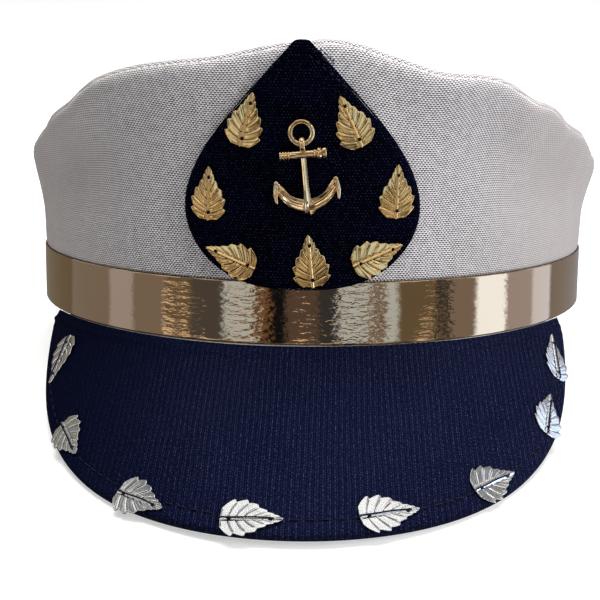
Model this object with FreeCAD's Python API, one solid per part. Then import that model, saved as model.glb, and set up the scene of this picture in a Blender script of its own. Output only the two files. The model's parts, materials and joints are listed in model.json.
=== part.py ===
"""Peaked cap with a foil band, a fabric-covered visor, a cockade badge and stamped leaves.

Every piece is first made in the cap's own frame: the band's lower edge lies in the plane
z = 0, centred on the Z axis, and the front of the cap faces -Y.  The finished set is then
tilted back and shifted, so that it stands on z = 0 on the visor's lower edge and on the
back of the band, with its bounding box centred on the Z axis.  All lengths are millimetres.
"""
import FreeCAD, Part
import math
import os

V = FreeCAD.Vector
UP = V(0, 0, 1)

# Band and everything that is wrapped around it
BAND_HALF_WIDTH = 88.0        # outside of the foil ribbon, across
BAND_HALF_LENGTH = 98.0       # outside of the foil ribbon, front to back
RIBBON_HEIGHT = 17.0
RIBBON_THICKNESS = 0.4
RIBBON_LAP = 16.0             # length of the glued overlap at the back
COVER_THICKNESS = 0.5
STIFFENER_THICKNESS = 1.2
SWEATBAND_DEPTH = 3.0         # from the ribbon's outside to the sweatband's outside
SWEATBAND_THICKNESS = 1.0
SWEATBAND_HEIGHT = 28.0
EDGE_STEP = 0.15              # how far the skins stop short of the stiffener's lower edge

# Crown
CROWN_BASE_HALF_WIDTH = 87.6
CROWN_BASE_HALF_LENGTH = 97.6
RIM_HALF_WIDTH = 90.5
RIM_HALF_LENGTH = 104.0
RIM_FRONT_HEIGHT = 77.0
RIM_BACK_HEIGHT = 35.5
TOP_DOME = 3.0                # rise of the top panel's middle above the stretched surface
WALL_THICKNESS = 1.2
TOP_THICKNESS = 1.0
SIDE_SEAM_ANGLE = 88.0        # azimuth of the two side seams, from the front
SEAM_GAP_ANGLE = 0.05

# Inside the crown, as depths below the outer face of the side wall
STAY_THICKNESS = 0.7
STAY_HALF_ANGLE = 40.0
STAY_DROP = 6.0               # the stay ends this far below the rim
TAPE_DROPS = (5.5, 1.6)       # lower and upper edge of the rim seam's tape, below the rim
TAPE_THICKNESS = 0.5
LINING_DEPTH = 2.0
LINING_THICKNESS = 0.5
LINING_TOP = -1.0             # lower face of the top lining, from the top panel's underside
LAYER_GAP = 0.05

# Visor: straight rulings that leave the band's lower edge
VISOR_HALF_ANGLE = 59.7       # azimuth of the visor's corners
VISOR_FAN = 0.5               # share of the azimuth that a ruling turns outwards
VISOR_SLOPE_FRONT = 37.0      # degrees below the band plane
VISOR_SLOPE_SIDE = 60.0
VISOR_LENGTH = 58.9           # along the middle ruling
VISOR_TAPER = 0.685           # exponent of the length's fall towards the corners
VISOR_END = 0.98              # share of the half angle that carries a full section
TOP_COVER = 0.6
BOARD = 1.4
UNDER_COVER = 0.5
COVER_LIP = 0.8               # thickness of the cover turned round the board's edge
LIP_DROP = 0.2                # how far the turned edge stands below the under cover
TOPSTITCH_INSET = 4.6
TOPSTITCH_PITCH = 3.6
TOPSTITCH_GAP = 0.8
TOPSTITCH_REACH = 0.90        # share of the half angle
SEAM_TAPE = (3.55, 2.2)       # width of the tape at the visor's root, and how far down it reaches

# Badge: a padded drop shape on the front of the crown
BADGE_FOOT_HEIGHT = 15.0
BADGE_TIP_HEIGHT = 79.3
BADGE_OUTLINE = ((11.0, 69.5), (22.0, 57.0), (29.2, 45.0), (31.0, 36.0), (27.8, 26.3), (17.5, 17.7))
BADGE_BACKING = 0.5
BADGE_BOARD = 1.0
BADGE_COVER = 0.5
BADGE_STANDOFF = 0.3          # between the badge's back and the ribbon and crown behind it
BADGE_MIDDLE_HEIGHT = 40.0    # the outline is scaled about this point of its middle line
BADGE_BOARD_SCALE = 0.98      # board and backing, inside the cover's hem
BADGE_POCKET_SCALE = 0.982    # the cover's hollow around them

# Stamped leaves
GOLD_LEAF = (14.4, 9.9)       # length, width
SILVER_LEAF = (15.6, 10.6)
LEAF_THICKNESS = 0.45
LEAF_TEETH = 7                # on each side
LEAF_RIB = (0.5, 0.25)        # width of the midrib, and its rise above the blade
LEAF_LIFT = 0.06              # between the middle of a leaf and the cloth under it
LEAF_HOLE_RADIUS = 0.5
LEAF_HOLES = (0.16, 0.80)     # from the base, as shares of the length
THREAD = 0.45

# Badge leaves: across and height of the base, then of the tip
BADGE_LEAVES = (
    (-15.7, 52.7, -12.2, 66.4),
    (15.4, 52.8, 9.6, 65.7),
    (-24.3, 33.3, -23.8, 47.3),
    (24.4, 34.2, 24.7, 48.4),
    (-11.6, 20.8, -24.9, 26.2),
    (13.2, 21.8, 26.4, 27.5),
    (3.2, 16.4, 1.9, 29.8),
)
# Visor leaves: share of the half angle and share of the ruling, for the base and the tip
VISOR_LEAVES = (
    (-0.80, 0.25, -0.81, 0.71),
    (-0.69, 0.80, -0.58, 0.87),
    (-0.42, 0.92, -0.29, 0.93),
    (-0.15, 0.92, -0.01, 0.90),
    (0.13, 0.90, 0.27, 0.90),
    (0.41, 0.88, 0.55, 0.89),
    (0.71, 0.86, 0.78, 0.69),
    (0.87, 0.72, 0.91, 0.28),
)

# Anchor charm, in its own plane: across, up, and outwards from the badge
ANCHOR_HEIGHT = 51.25         # height of the stock above the band plane
ANCHOR_ACROSS = 0.6
ANCHOR_LEAN = 5.7             # degrees, foot towards the wearer's left
RING_RADIUS = 2.8
RING_WIRE = 0.68
EYE_RADIUS = 1.95
EYE_HOLE = 0.95
EYE_UP = 2.7
EYE_OUT = 2.05
EYE_WIDTH = 1.4
STOCK_HALF = 5.9
STOCK_RADIUS = 1.2
STOCK_OUT = 1.5               # from the anchor's back to the stock's axis
COLLAR_RADIUS = 1.4
BEAD_RADIUS = 1.1
SHANK_WIDTH = 1.7
SHANK_DEPTH = 2.0
CROWN_DOWN = 15.0             # lowest point of the arms below the stock
ARM_THICKNESS = 1.9
ARM_WIDTH = 3.4               # at the crown, between the two arcs
ARM_RADII = (8.2, 7.0)        # outer arc, inner arc
ARM_TOP = -9.8                # the flukes take over above this height
FLUKE_OUTLINE = (
    (7.95, -5.8), (8.9, -8.6), (8.7, -12.3), (7.5, -12.3), (6.4, -11.2), (4.7, -11.0), (6.6, -8.0),
)
PRONG_RADIUS = 0.6
PRONG_HOLE = 0.66
PRONG_LENGTH = 7.2
PRONG_PLACES = ((0, -3.5), (0, -9.0))
WASHER_SIZE = (7.0, 11.0, 0.5)
WASHER_GAP = 0.8              # from the prongs' ends to the washer plate's inner face
ANCHOR_LIFT = 0.08            # between the anchor's back and the badge's face
RING_CLEARANCE = 0.3          # between the stored ring and the badge's cover


# ---------------------------------------------------------------- shared helpers

def ellipse_prism(half_width, half_length, low, high):
    """Upright solid over an ellipse whose long axis runs front to back."""
    edge = Part.Ellipse(V(0, 0, 0), half_length, half_width).toShape()
    edge.rotate(V(0, 0, 0), UP, 90)
    face = Part.Face(Part.Wire(edge))
    face.translate(V(0, 0, low))
    return face.extrude(V(0, 0, high - low))


def band_ring(depth, thickness, low, high):
    """Upright ring, its outside a given depth inside the ribbon's outer face."""
    width = BAND_HALF_WIDTH - depth
    length = BAND_HALF_LENGTH - depth
    outer = ellipse_prism(width, length, low, high)
    return outer.cut(ellipse_prism(width - thickness, length - thickness, low - 1, high + 1))


def section_wire(outer, inner):
    """Closed wire from two rows of points that run side by side."""
    def row(points):
        if len(points) == 2:
            return Part.LineSegment(points[0], points[1]).toShape()
        curve = Part.BSplineCurve()
        curve.interpolate(points)
        return curve.toShape()
    back = list(reversed(inner))
    return Part.Wire([
        row(outer),
        Part.LineSegment(outer[-1], inner[-1]).toShape(),
        row(back),
        Part.LineSegment(inner[0], outer[0]).toShape(),
    ])


def polygon_wire(points):
    return Part.makePolygon(list(points) + [points[0]])


def spread(low, high, count):
    """Evenly spaced values, both ends included."""
    return [low + (high - low) * i / (count - 1) for i in range(count)]


def place(shape, origin, across, up):
    """Moves a shape made in X across, Y up, Z outwards to a surface point."""
    out = across.cross(up)
    matrix = FreeCAD.Matrix(
        across.x, up.x, out.x, origin.x,
        across.y, up.y, out.y, origin.y,
        across.z, up.z, out.z, origin.z,
        0, 0, 0, 1)
    placed = shape.copy()
    placed.Placement = FreeCAD.Placement(matrix).multiply(shape.Placement)
    return placed


# ---------------------------------------------------------------- crown

def top_height(x, y):
    """Height of the top panel's underside: a soap film over the rim, plus a low dome."""
    across = x / RIM_HALF_WIDTH
    front = -y / RIM_HALF_LENGTH
    film = (0.3125 + 0.46875 * front + 0.1875 * (front ** 2 - across ** 2)
            + 0.03125 * (front ** 3 - 3 * front * across ** 2))
    dome = TOP_DOME * (1 - across ** 2 - front ** 2)
    return RIM_BACK_HEIGHT + (RIM_FRONT_HEIGHT - RIM_BACK_HEIGHT) * film + dome


def wall_lean(azimuth):
    """Horizontal step from the foot of the side wall to the rim above it."""
    angle = math.radians(azimuth)
    across = (RIM_HALF_WIDTH - CROWN_BASE_HALF_WIDTH) * math.sin(angle)
    along = -(RIM_HALF_LENGTH - CROWN_BASE_HALF_LENGTH) * math.cos(angle)
    return V(across, along, 0)


def wall_point(azimuth, share, depth):
    """Point of the side wall; share is 0 at the band and 1 at the rim, depth is inwards."""
    angle = math.radians(azimuth)
    straight = 0.35 + 0.6 * max(math.cos(angle), 0) ** 2
    flare = straight * share + (1 - straight) * share ** 3
    foot = V(CROWN_BASE_HALF_WIDTH * math.sin(angle), -CROWN_BASE_HALF_LENGTH * math.cos(angle), 0)
    lean = wall_lean(azimuth)
    inwards = V(lean).normalize() * -depth
    rim = foot + lean + inwards
    height = top_height(rim.x, rim.y) - LAYER_GAP - RIBBON_HEIGHT
    return foot + lean * flare + inwards + UP * (RIBBON_HEIGHT + height * share)


def wall_share(azimuth, drop):
    """Share of the wall's height that lies a given drop below the rim."""
    full = wall_point(azimuth, 1, 0).z - RIBBON_HEIGHT
    return 1 - drop / full


def wall_band(start, end, sections, outer_depth, thickness, low_drop=None, high_drop=0.0, rows=5):
    """Part of the side wall between two azimuths; a low drop of None starts at the band."""
    wires = []
    for azimuth in spread(start, end, sections):
        low = 0.0 if low_drop is None else wall_share(azimuth, low_drop)
        shares = spread(low, wall_share(azimuth, high_drop), rows)
        outer = [wall_point(azimuth, s, outer_depth) for s in shares]
        inner = [wall_point(azimuth, s, outer_depth + thickness) for s in shares]
        wires.append(section_wire(outer, inner))
    return Part.makeLoft(wires, True, False)


def wall_loop(outer_depth, thickness, low_drop, high_drop):
    """Closed strip inside the wall, made as a left and a right half that meet."""
    right = wall_band(0, 180, 19, outer_depth, thickness, low_drop, high_drop, 4)
    left = wall_band(180, 360, 19, outer_depth, thickness, low_drop, high_drop, 4)
    return right.fuse(left)


def top_slab(half_width, half_length, lift, thickness):
    """Sheet that follows the top panel's surface, cut to an ellipse."""
    count = 13
    reach = 1.04
    grid = []
    for x in spread(-RIM_HALF_WIDTH * reach, RIM_HALF_WIDTH * reach, count):
        line = []
        for y in spread(-RIM_HALF_LENGTH * reach, RIM_HALF_LENGTH * reach, count):
            line.append(V(x, y, top_height(x, y) + lift))
        grid.append(line)
    surface = Part.BSplineSurface()
    surface.interpolate(grid)
    block = surface.toShape().extrude(V(0, 0, thickness))
    return block.common(ellipse_prism(half_width, half_length, 0, 120))


def crown_pieces():
    side = SIDE_SEAM_ANGLE
    gap = SEAM_GAP_ANGLE
    pieces = {
        "crown_front_panel": wall_band(-side, side, 23, 0, WALL_THICKNESS),
        "crown_back_right_panel": wall_band(side + gap, 180 - gap, 13, 0, WALL_THICKNESS),
        "crown_back_left_panel": wall_band(180 + gap, 360 - side - gap, 13, 0, WALL_THICKNESS),
        "crown_top_panel": top_slab(RIM_HALF_WIDTH, RIM_HALF_LENGTH, 0, TOP_THICKNESS),
        "crown_seam_tape": wall_loop(WALL_THICKNESS + LAYER_GAP, TAPE_THICKNESS, *TAPE_DROPS),
        "front_stay": wall_band(-STAY_HALF_ANGLE, STAY_HALF_ANGLE, 11, WALL_THICKNESS + LAYER_GAP,
                                STAY_THICKNESS, None, STAY_DROP),
        "crown_lining_side": wall_loop(LINING_DEPTH, LINING_THICKNESS, None, TAPE_DROPS[1]),
        "crown_lining_top": top_slab(RIM_HALF_WIDTH - 1.9, RIM_HALF_LENGTH - 2.0, LINING_TOP,
                                     LINING_THICKNESS),
    }
    return pieces


# ---------------------------------------------------------------- band

def band_pieces():
    cover_depth = RIBBON_THICKNESS
    stiffener_depth = cover_depth + COVER_THICKNESS
    ribbon = band_ring(0, RIBBON_THICKNESS, EDGE_STEP, RIBBON_HEIGHT)
    lap_ring = band_ring(-RIBBON_THICKNESS, RIBBON_THICKNESS, EDGE_STEP, RIBBON_HEIGHT)
    lap_box = Part.makeBox(RIBBON_LAP, 20, RIBBON_HEIGHT + 2, V(-RIBBON_LAP / 2, BAND_HALF_LENGTH - 10, -1))
    return {
        "gold_ribbon": ribbon.fuse(lap_ring.common(lap_box)).removeSplitter(),
        "band_cover": band_ring(cover_depth, COVER_THICKNESS, EDGE_STEP, RIBBON_HEIGHT),
        "headband_stiffener": band_ring(stiffener_depth, STIFFENER_THICKNESS, 0, RIBBON_HEIGHT),
        "sweatband": band_ring(SWEATBAND_DEPTH, SWEATBAND_THICKNESS, 0.5, SWEATBAND_HEIGHT),
    }


# ---------------------------------------------------------------- visor

def visor_ruling(share):
    """Root point, horizontal heading, slope in radians and length of one ruling."""
    azimuth = math.radians(VISOR_HALF_ANGLE) * share
    root = V(BAND_HALF_WIDTH * math.sin(azimuth), -BAND_HALF_LENGTH * math.cos(azimuth), 0)
    fan = VISOR_FAN * azimuth
    heading = V(math.sin(fan), -math.cos(fan), 0)
    slope = math.radians(VISOR_SLOPE_FRONT + (VISOR_SLOPE_SIDE - VISOR_SLOPE_FRONT) * share ** 2)
    length = VISOR_LENGTH * (1 - share ** 2) ** VISOR_TAPER
    return root, heading, slope, length


def visor_point(share, along, depth):
    """Point a length along a ruling and a depth below the visor's top face."""
    root, heading, slope, _ = visor_ruling(share)
    out = along * math.cos(slope) - depth * math.sin(slope)
    down = along * math.sin(slope) + depth * math.cos(slope)
    return root + heading * out - UP * down


def visor_root(share, depth):
    """Point of the visor's upright root face, where it meets the band."""
    root, _, slope, _ = visor_ruling(share)
    return root - UP * (depth / math.cos(slope))


def visor_shares(count):
    """Ruling positions, closer together towards the corners."""
    quarter = math.asin(VISOR_END)
    return [math.sin(a) for a in spread(-quarter, quarter, count)]


def visor_layer(top, bottom, short):
    """Sheet between two depths that stops short of the visor's edge."""
    wires = []
    for share in visor_shares(25):
        length = visor_ruling(share)[3] - short
        wires.append(polygon_wire([
            visor_root(share, top),
            visor_point(share, length, top),
            visor_point(share, length, bottom),
            visor_root(share, bottom),
        ]))
    return Part.makeLoft(wires, True, False)


def visor_cover():
    """Top cover with its edge turned down over the board's edge."""
    full = TOP_COVER + BOARD + UNDER_COVER + LIP_DROP
    wires = []
    for share in visor_shares(25):
        length = visor_ruling(share)[3]
        wires.append(polygon_wire([
            visor_root(share, 0),
            visor_point(share, length, 0),
            visor_point(share, length, full),
            visor_point(share, length - COVER_LIP, full),
            visor_point(share, length - COVER_LIP, TOP_COVER),
            visor_root(share, TOP_COVER),
        ]))
    return Part.makeLoft(wires, True, False)


def visor_seam_tape():
    """Tape that joins the visor's root to the underside of the band."""
    width, height = SEAM_TAPE
    bar = band_ring(LAYER_GAP, width, -height, -LAYER_GAP)
    reach = BAND_HALF_LENGTH * math.cos(math.radians(VISOR_HALF_ANGLE * VISOR_END))
    front = Part.makeBox(200, 100, 10, V(-100, -100 - reach, -5))
    return bar.common(front)


def stitch(start, end, normal, width):
    """One straight stitch: a small bar that lies on a surface from start to end."""
    along = end - start
    across = along.cross(normal).normalize()
    bar = Part.makeBox(along.Length, width, width)
    return place(bar, start - across * (width / 2) + normal * 0.02, V(along).normalize(), across * -1)


def visor_topstitch():
    """Row of stitches parallel to the visor's edge."""
    path = []
    for share in spread(-TOPSTITCH_REACH, TOPSTITCH_REACH, 400):
        path.append(visor_point(share, visor_ruling(share)[3] - TOPSTITCH_INSET, 0))
    return Part.makeCompound(stitch_row(path, TOPSTITCH_PITCH, TOPSTITCH_GAP))


def stitch_row(path, pitch, gap):
    """Stitches of one pitch along a fine row of points, none of them under a leaf."""
    reach = 0.5 * SILVER_LEAF[0] + pitch
    leaves = [frame[0] for frame in visor_leaf_frames()]
    bars = []
    start = 0
    walked = 0.0
    for i in range(1, len(path)):
        walked += (path[i] - path[i - 1]).Length
        if walked >= pitch:
            first, last = path[start], path[i]
            end = first + (last - first) * ((pitch - gap) / (last - first).Length)
            if all((first - middle).Length > reach for middle in leaves):
                normal = visor_normal_at((first + end) * 0.5, last - first)
                bars.append(stitch(first, end, normal, THREAD))
            start = i
            walked = 0.0
    return bars


def visor_normal_at(point, along):
    """Outward normal of the visor's top face near a point, square to a direction."""
    share = nearest_share(point)
    _, heading, slope, _ = visor_ruling(share)
    down_slope = heading * math.cos(slope) - UP * math.sin(slope)
    normal = down_slope.cross(along).normalize()
    return normal if normal.z > 0 else normal * -1


def nearest_share(point):
    """Share of the ruling that passes nearest to a point of the visor."""
    best = None
    for share in spread(-VISOR_END, VISOR_END, 393):
        root, heading, slope, _ = visor_ruling(share)
        direction = heading * math.cos(slope) - UP * math.sin(slope)
        distance = (point - root).cross(direction).Length
        if best is None or distance < best[0]:
            best = (distance, share)
    return best[1]


def visor_pieces():
    board_top = TOP_COVER
    under_top = TOP_COVER + BOARD
    return {
        "visor_top_cover": visor_cover(),
        "visor_board": visor_layer(board_top, under_top, COVER_LIP + LAYER_GAP),
        "visor_under_cover": visor_layer(under_top, under_top + UNDER_COVER, COVER_LIP + LAYER_GAP),
        "visor_seam_tape": visor_seam_tape(),
        "visor_topstitch": visor_topstitch(),
    }


# ---------------------------------------------------------------- badge

def badge_radii(height, out):
    """Half width and half length of the badge's back face at a height, plus an offset."""
    rise = (height - BADGE_FOOT_HEIGHT) / (BADGE_TIP_HEIGHT - BADGE_FOOT_HEIGHT)
    half_width = BAND_HALF_WIDTH + (RIM_HALF_WIDTH - BAND_HALF_WIDTH) * rise
    half_length = BAND_HALF_LENGTH + (RIM_HALF_LENGTH - BAND_HALF_LENGTH) * rise
    return half_width + BADGE_STANDOFF + out, half_length + BADGE_STANDOFF + out


def badge_point(across, height, out):
    """Point of the badge at a distance across, a height and an offset from its back face."""
    half_width, half_length = badge_radii(height, out)
    azimuth = math.asin(across / half_width)
    return V(across, -half_length * math.cos(azimuth), height)


def badge_slab(inner, outer):
    """Curved sheet across the badge, wider and taller than its outline."""
    beyond = 3.0
    low, high = BADGE_FOOT_HEIGHT - beyond, BADGE_TIP_HEIGHT + beyond
    half = max(x for x, _ in BADGE_OUTLINE) + 5.0
    wires = []
    for across in spread(-half, half, 13):
        wires.append(polygon_wire([
            badge_point(across, low, inner),
            badge_point(across, high, inner),
            badge_point(across, high, outer),
            badge_point(across, low, outer),
        ]))
    return Part.makeLoft(wires, True, False)


def badge_prism(scale):
    """Drop outline, scaled about its middle, as a solid that runs front to back."""
    middle = V(0, 0, BADGE_MIDDLE_HEIGHT)
    right = [V(x, 0, z) for x, z in BADGE_OUTLINE]
    left = [V(-x, 0, z) for x, z in reversed(BADGE_OUTLINE)]
    tip = V(0, 0, BADGE_TIP_HEIGHT)
    foot = V(0, 0, BADGE_FOOT_HEIGHT)
    points = [tip] + right + [foot] + left + [tip]
    curve = Part.BSplineCurve()
    curve.interpolate([middle + (p - middle) * scale for p in points])
    face = Part.Face(Part.Wire(curve.toShape()))
    face.translate(V(0, -140, 0))
    return face.extrude(V(0, 80, 0))


def badge_pieces():
    board_out = BADGE_BACKING
    cover_out = board_out + BADGE_BOARD
    face_out = cover_out + BADGE_COVER
    board_prism = badge_prism(BADGE_BOARD_SCALE)
    full = badge_slab(0, face_out).common(badge_prism(1.0))
    core = badge_slab(-1, cover_out).common(badge_prism(BADGE_POCKET_SCALE))
    return {
        "badge_backing": badge_slab(0, board_out).common(board_prism),
        "badge_board": badge_slab(board_out, cover_out).common(board_prism),
        "badge_cover": full.cut(core),
    }


def badge_face():
    """Offset of the badge's front face from its back face."""
    return BADGE_BACKING + BADGE_BOARD + BADGE_COVER


# ---------------------------------------------------------------- leaves

def leaf_half_width(share, width):
    """Half width of the leaf's blade, broad near the base and pointed at the tip."""
    return 0.5 * width * math.sin(math.pi * share ** 0.62) ** 0.6 * (1 - 0.25 * share ** 2)


def leaf_side(length, width):
    """One saw-toothed side of the blade from base to tip, as across and along pairs."""
    points = []
    for i in range(LEAF_TEETH):
        share = 0.04 + 0.90 * (i + 0.9) / LEAF_TEETH
        notch = share + 0.012
        points.append((leaf_half_width(share, width), share * length))
        points.append((leaf_half_width(notch, width) * 0.86, (notch - 0.02) * length))
    return points


def leaf_plate(size):
    """Flat stamped leaf with its base at the origin and its tip along +Y."""
    length, width = size
    side = leaf_side(length, width)
    base_right = [(0.12 * width, 0.0), (0.34 * width, 0.035 * length)]
    right = [V(x, y, 0) for x, y in base_right + side[:-1]]
    left = [V(-x, y, 0) for x, y in reversed(base_right + side[:-1])]
    outline = right + [V(0, length, 0)] + left
    plate = Part.Face(polygon_wire(outline)).extrude(V(0, 0, LEAF_THICKNESS))
    rib_width, rib_rise = LEAF_RIB
    corner = V(-rib_width / 2, 0.03 * length, 0)
    plate = plate.fuse(Part.makeBox(rib_width, 0.86 * length, LEAF_THICKNESS + rib_rise, corner))
    for share in LEAF_HOLES:
        plate = plate.cut(Part.makeCylinder(LEAF_HOLE_RADIUS, 3, V(0, share * length, -1)))
    return plate


def leaf_thread(size):
    """Thread that comes up through one hole, runs along the rib and goes down the other."""
    length = size[0]
    low, high = LEAF_HOLES[0] * length, LEAF_HOLES[1] * length
    top = LEAF_THICKNESS + 0.3
    bar = Part.makeBox(THREAD, high - low + THREAD, THREAD, V(-THREAD / 2, low - THREAD / 2, top))
    for y in (low, high):
        bar = bar.fuse(Part.makeBox(THREAD, THREAD, top + 0.01, V(-THREAD / 2, y - THREAD / 2, 0)))
    return bar


def leaf_knots(size):
    """Two thread knots that fill a leaf's holes."""
    length = size[0]
    radius = LEAF_HOLE_RADIUS - 0.08
    height = LEAF_THICKNESS + 0.35
    knots = [Part.makeCylinder(radius, height, V(0, share * length, 0)) for share in LEAF_HOLES]
    return Part.makeCompound(knots)


def leaf_frame(base, tip, normal, length):
    """Origin and directions of a leaf that is centred between two points of a surface."""
    up = (tip - base).normalize()
    out = (normal - up * normal.dot(up)).normalize()
    across = up.cross(out)
    middle = (base + tip) * 0.5
    return middle, across, up, out, length


def put_leaf(shape, frame):
    """Lays a leaf shape on its frame, just clear of the cloth."""
    middle, across, up, out, length = frame
    return place(shape, middle - up * (length / 2) + out * LEAF_LIFT, across, up)


def badge_leaf_frames():
    """Frames of the gold leaves; the middle of each lies on the badge's face."""
    frames = []
    step = 0.5
    for base_x, base_z, tip_x, tip_z in BADGE_LEAVES:
        base = badge_point(base_x, base_z, badge_face())
        tip = badge_point(tip_x, tip_z, badge_face())
        x, z = (base_x + tip_x) / 2, (base_z + tip_z) / 2
        middle = badge_point(x, z, badge_face())
        side = badge_point(x + step, z, badge_face()) - badge_point(x - step, z, badge_face())
        rise = badge_point(x, z + step, badge_face()) - badge_point(x, z - step, badge_face())
        normal = side.cross(rise).normalize()
        frame = leaf_frame(base, tip, normal, GOLD_LEAF[0])
        frames.append((middle,) + frame[1:])
    return frames


def visor_face(share, part):
    """Point of the visor's top face at a share of the half angle and of the ruling's length."""
    return visor_point(share, part * visor_ruling(share)[3], 0)


def visor_leaf_frames():
    """Frames of the silver leaves; the middle of each lies on the visor's top face."""
    frames = []
    step = 0.01
    for base_u, base_v, tip_u, tip_v in VISOR_LEAVES:
        u, v = (base_u + tip_u) / 2, (base_v + tip_v) / 2
        side = visor_face(u + step, v) - visor_face(u - step, v)
        fall = visor_face(u, v + step) - visor_face(u, v - step)
        normal = fall.cross(side).normalize()
        normal = normal if normal.z > 0 else normal * -1
        base, tip = visor_face(base_u, base_v), visor_face(tip_u, tip_v)
        frames.append((visor_face(u, v),) + leaf_frame(base, tip, normal, SILVER_LEAF[0])[1:])
    return frames


def leaf_pieces():
    pieces = {}
    gold = leaf_plate(GOLD_LEAF)
    silver = leaf_plate(SILVER_LEAF)
    knots = []
    for number, frame in enumerate(badge_leaf_frames(), 1):
        pieces[f"badge_leaf_{number}"] = put_leaf(gold, frame)
        knots.append(put_leaf(leaf_knots(GOLD_LEAF), frame))
    threads = []
    for number, frame in enumerate(visor_leaf_frames(), 1):
        pieces[f"visor_leaf_{number}"] = put_leaf(silver, frame)
        threads.append(put_leaf(leaf_thread(SILVER_LEAF), frame))
    pieces["badge_leaf_knots"] = Part.makeCompound(knots)
    pieces["visor_leaf_threads"] = Part.makeCompound(threads)
    return pieces


# ---------------------------------------------------------------- anchor

def anchor_axes():
    """Origin and directions of the anchor's plane, which touches the badge's face."""
    origin = badge_point(ANCHOR_ACROSS, ANCHOR_HEIGHT, badge_face())
    rise = badge_point(ANCHOR_ACROSS, ANCHOR_HEIGHT + 5, badge_face()) - origin
    up = rise.normalize()
    across = V(1, 0, 0)
    out = across.cross(up)
    turn = FreeCAD.Rotation(out, ANCHOR_LEAN)
    return origin + out * ANCHOR_LIFT, turn.multVec(across), turn.multVec(up)


def anchor_fluke(side):
    """Barbed arrow head at the end of one arm."""
    set_back = 0.2
    outline = [V(side * x, y, set_back) for x, y in FLUKE_OUTLINE]
    return Part.Face(polygon_wire(outline)).extrude(V(0, 0, ARM_THICKNESS - set_back))


def anchor_arms():
    """Crescent that carries the two flukes, with a point under the shank."""
    outer_radius, inner_radius = ARM_RADII
    disc = Part.makeCylinder(outer_radius, ARM_THICKNESS, V(0, outer_radius - CROWN_DOWN, 0))
    hollow = Part.makeCylinder(inner_radius, 6, V(0, inner_radius - CROWN_DOWN + ARM_WIDTH, -2))
    low = -CROWN_DOWN - 1
    keep = Part.makeBox(20, ARM_TOP - low, 6, V(-10, low, -2))
    return disc.cut(hollow).common(keep)


def anchor_stock():
    """Round cross bar with a collar and a bead at each end."""
    x_axis = V(1, 0, 0)
    bead_inset = 1.0
    collar_inset = 1.9
    collar_width = 0.7
    half = STOCK_HALF - bead_inset
    bar = Part.makeCylinder(STOCK_RADIUS - 0.2, 2 * half, V(-half, 0, STOCK_OUT), x_axis)
    barrel = STOCK_HALF - collar_inset
    bar = bar.fuse(Part.makeCylinder(STOCK_RADIUS, 2 * barrel, V(-barrel, 0, STOCK_OUT), x_axis))
    for side in (-1, 1):
        corner = V(side * barrel - collar_width / 2, 0, STOCK_OUT)
        collar = Part.makeCylinder(COLLAR_RADIUS, collar_width, corner, x_axis)
        bead = Part.makeSphere(BEAD_RADIUS, V(side * half, 0, STOCK_OUT))
        bar = bar.fuse(collar).fuse(bead)
    return bar


def anchor_eye():
    """Upright plate with the hole that the ring turns in."""
    x_axis = V(1, 0, 0)
    disc = Part.makeCylinder(EYE_RADIUS, EYE_WIDTH, V(-EYE_WIDTH / 2, EYE_UP, EYE_OUT), x_axis)
    neck = Part.makeBox(EYE_WIDTH, EYE_UP, 2 * EYE_RADIUS * 0.8, V(-EYE_WIDTH / 2, 0, 0.3))
    hole = Part.makeCylinder(EYE_HOLE, 6, V(-3, EYE_UP, EYE_OUT), x_axis)
    return disc.fuse(neck).cut(hole)


def anchor_casting():
    shank_length = CROWN_DOWN - 1.5
    shank = Part.makeBox(SHANK_WIDTH, shank_length, SHANK_DEPTH, V(-SHANK_WIDTH / 2, -shank_length, 0))
    casting = shank.fuse([anchor_arms(), anchor_stock(), anchor_eye(), anchor_fluke(-1), anchor_fluke(1)])
    for x, y in PRONG_PLACES:
        casting = casting.fuse(Part.makeCylinder(PRONG_RADIUS, PRONG_LENGTH + 0.5, V(x, y, -PRONG_LENGTH)))
    return casting.removeSplitter()


def ring_rest_angle():
    """How far the stored ring leans back from the anchor's plane, in degrees."""
    drop = EYE_OUT - RING_WIRE - RING_CLEARANCE
    return math.degrees(math.asin(drop / (2 * RING_RADIUS)))


def anchor_ring():
    ring = Part.makeTorus(RING_RADIUS, RING_WIRE, V(0, EYE_UP + RING_RADIUS, EYE_OUT), UP)
    ring.rotate(V(0, EYE_UP, EYE_OUT), V(1, 0, 0), -ring_rest_angle())
    return ring


def prong_drill(axes):
    """Two clearance holes through every layer that the prongs pass."""
    drills = []
    for x, y in PRONG_PLACES:
        drills.append(Part.makeCylinder(PRONG_HOLE, PRONG_LENGTH + 2, V(x, y, -PRONG_LENGTH - 1)))
    return place(Part.makeCompound(drills), *axes)


def washer_plate():
    """Plate inside the crown that the prongs are bent over."""
    width, length, thickness = WASHER_SIZE
    y_middle = sum(y for _, y in PRONG_PLACES) / len(PRONG_PLACES)
    corner = V(-width / 2, y_middle - length / 2, WASHER_GAP - PRONG_LENGTH)
    plate = Part.makeBox(width, length, thickness, corner)
    for x, y in PRONG_PLACES:
        plate = plate.cut(Part.makeCylinder(PRONG_HOLE, 4, V(x, y, -PRONG_LENGTH - 1)))
    return plate


# ---------------------------------------------------------------- assembly

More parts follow.
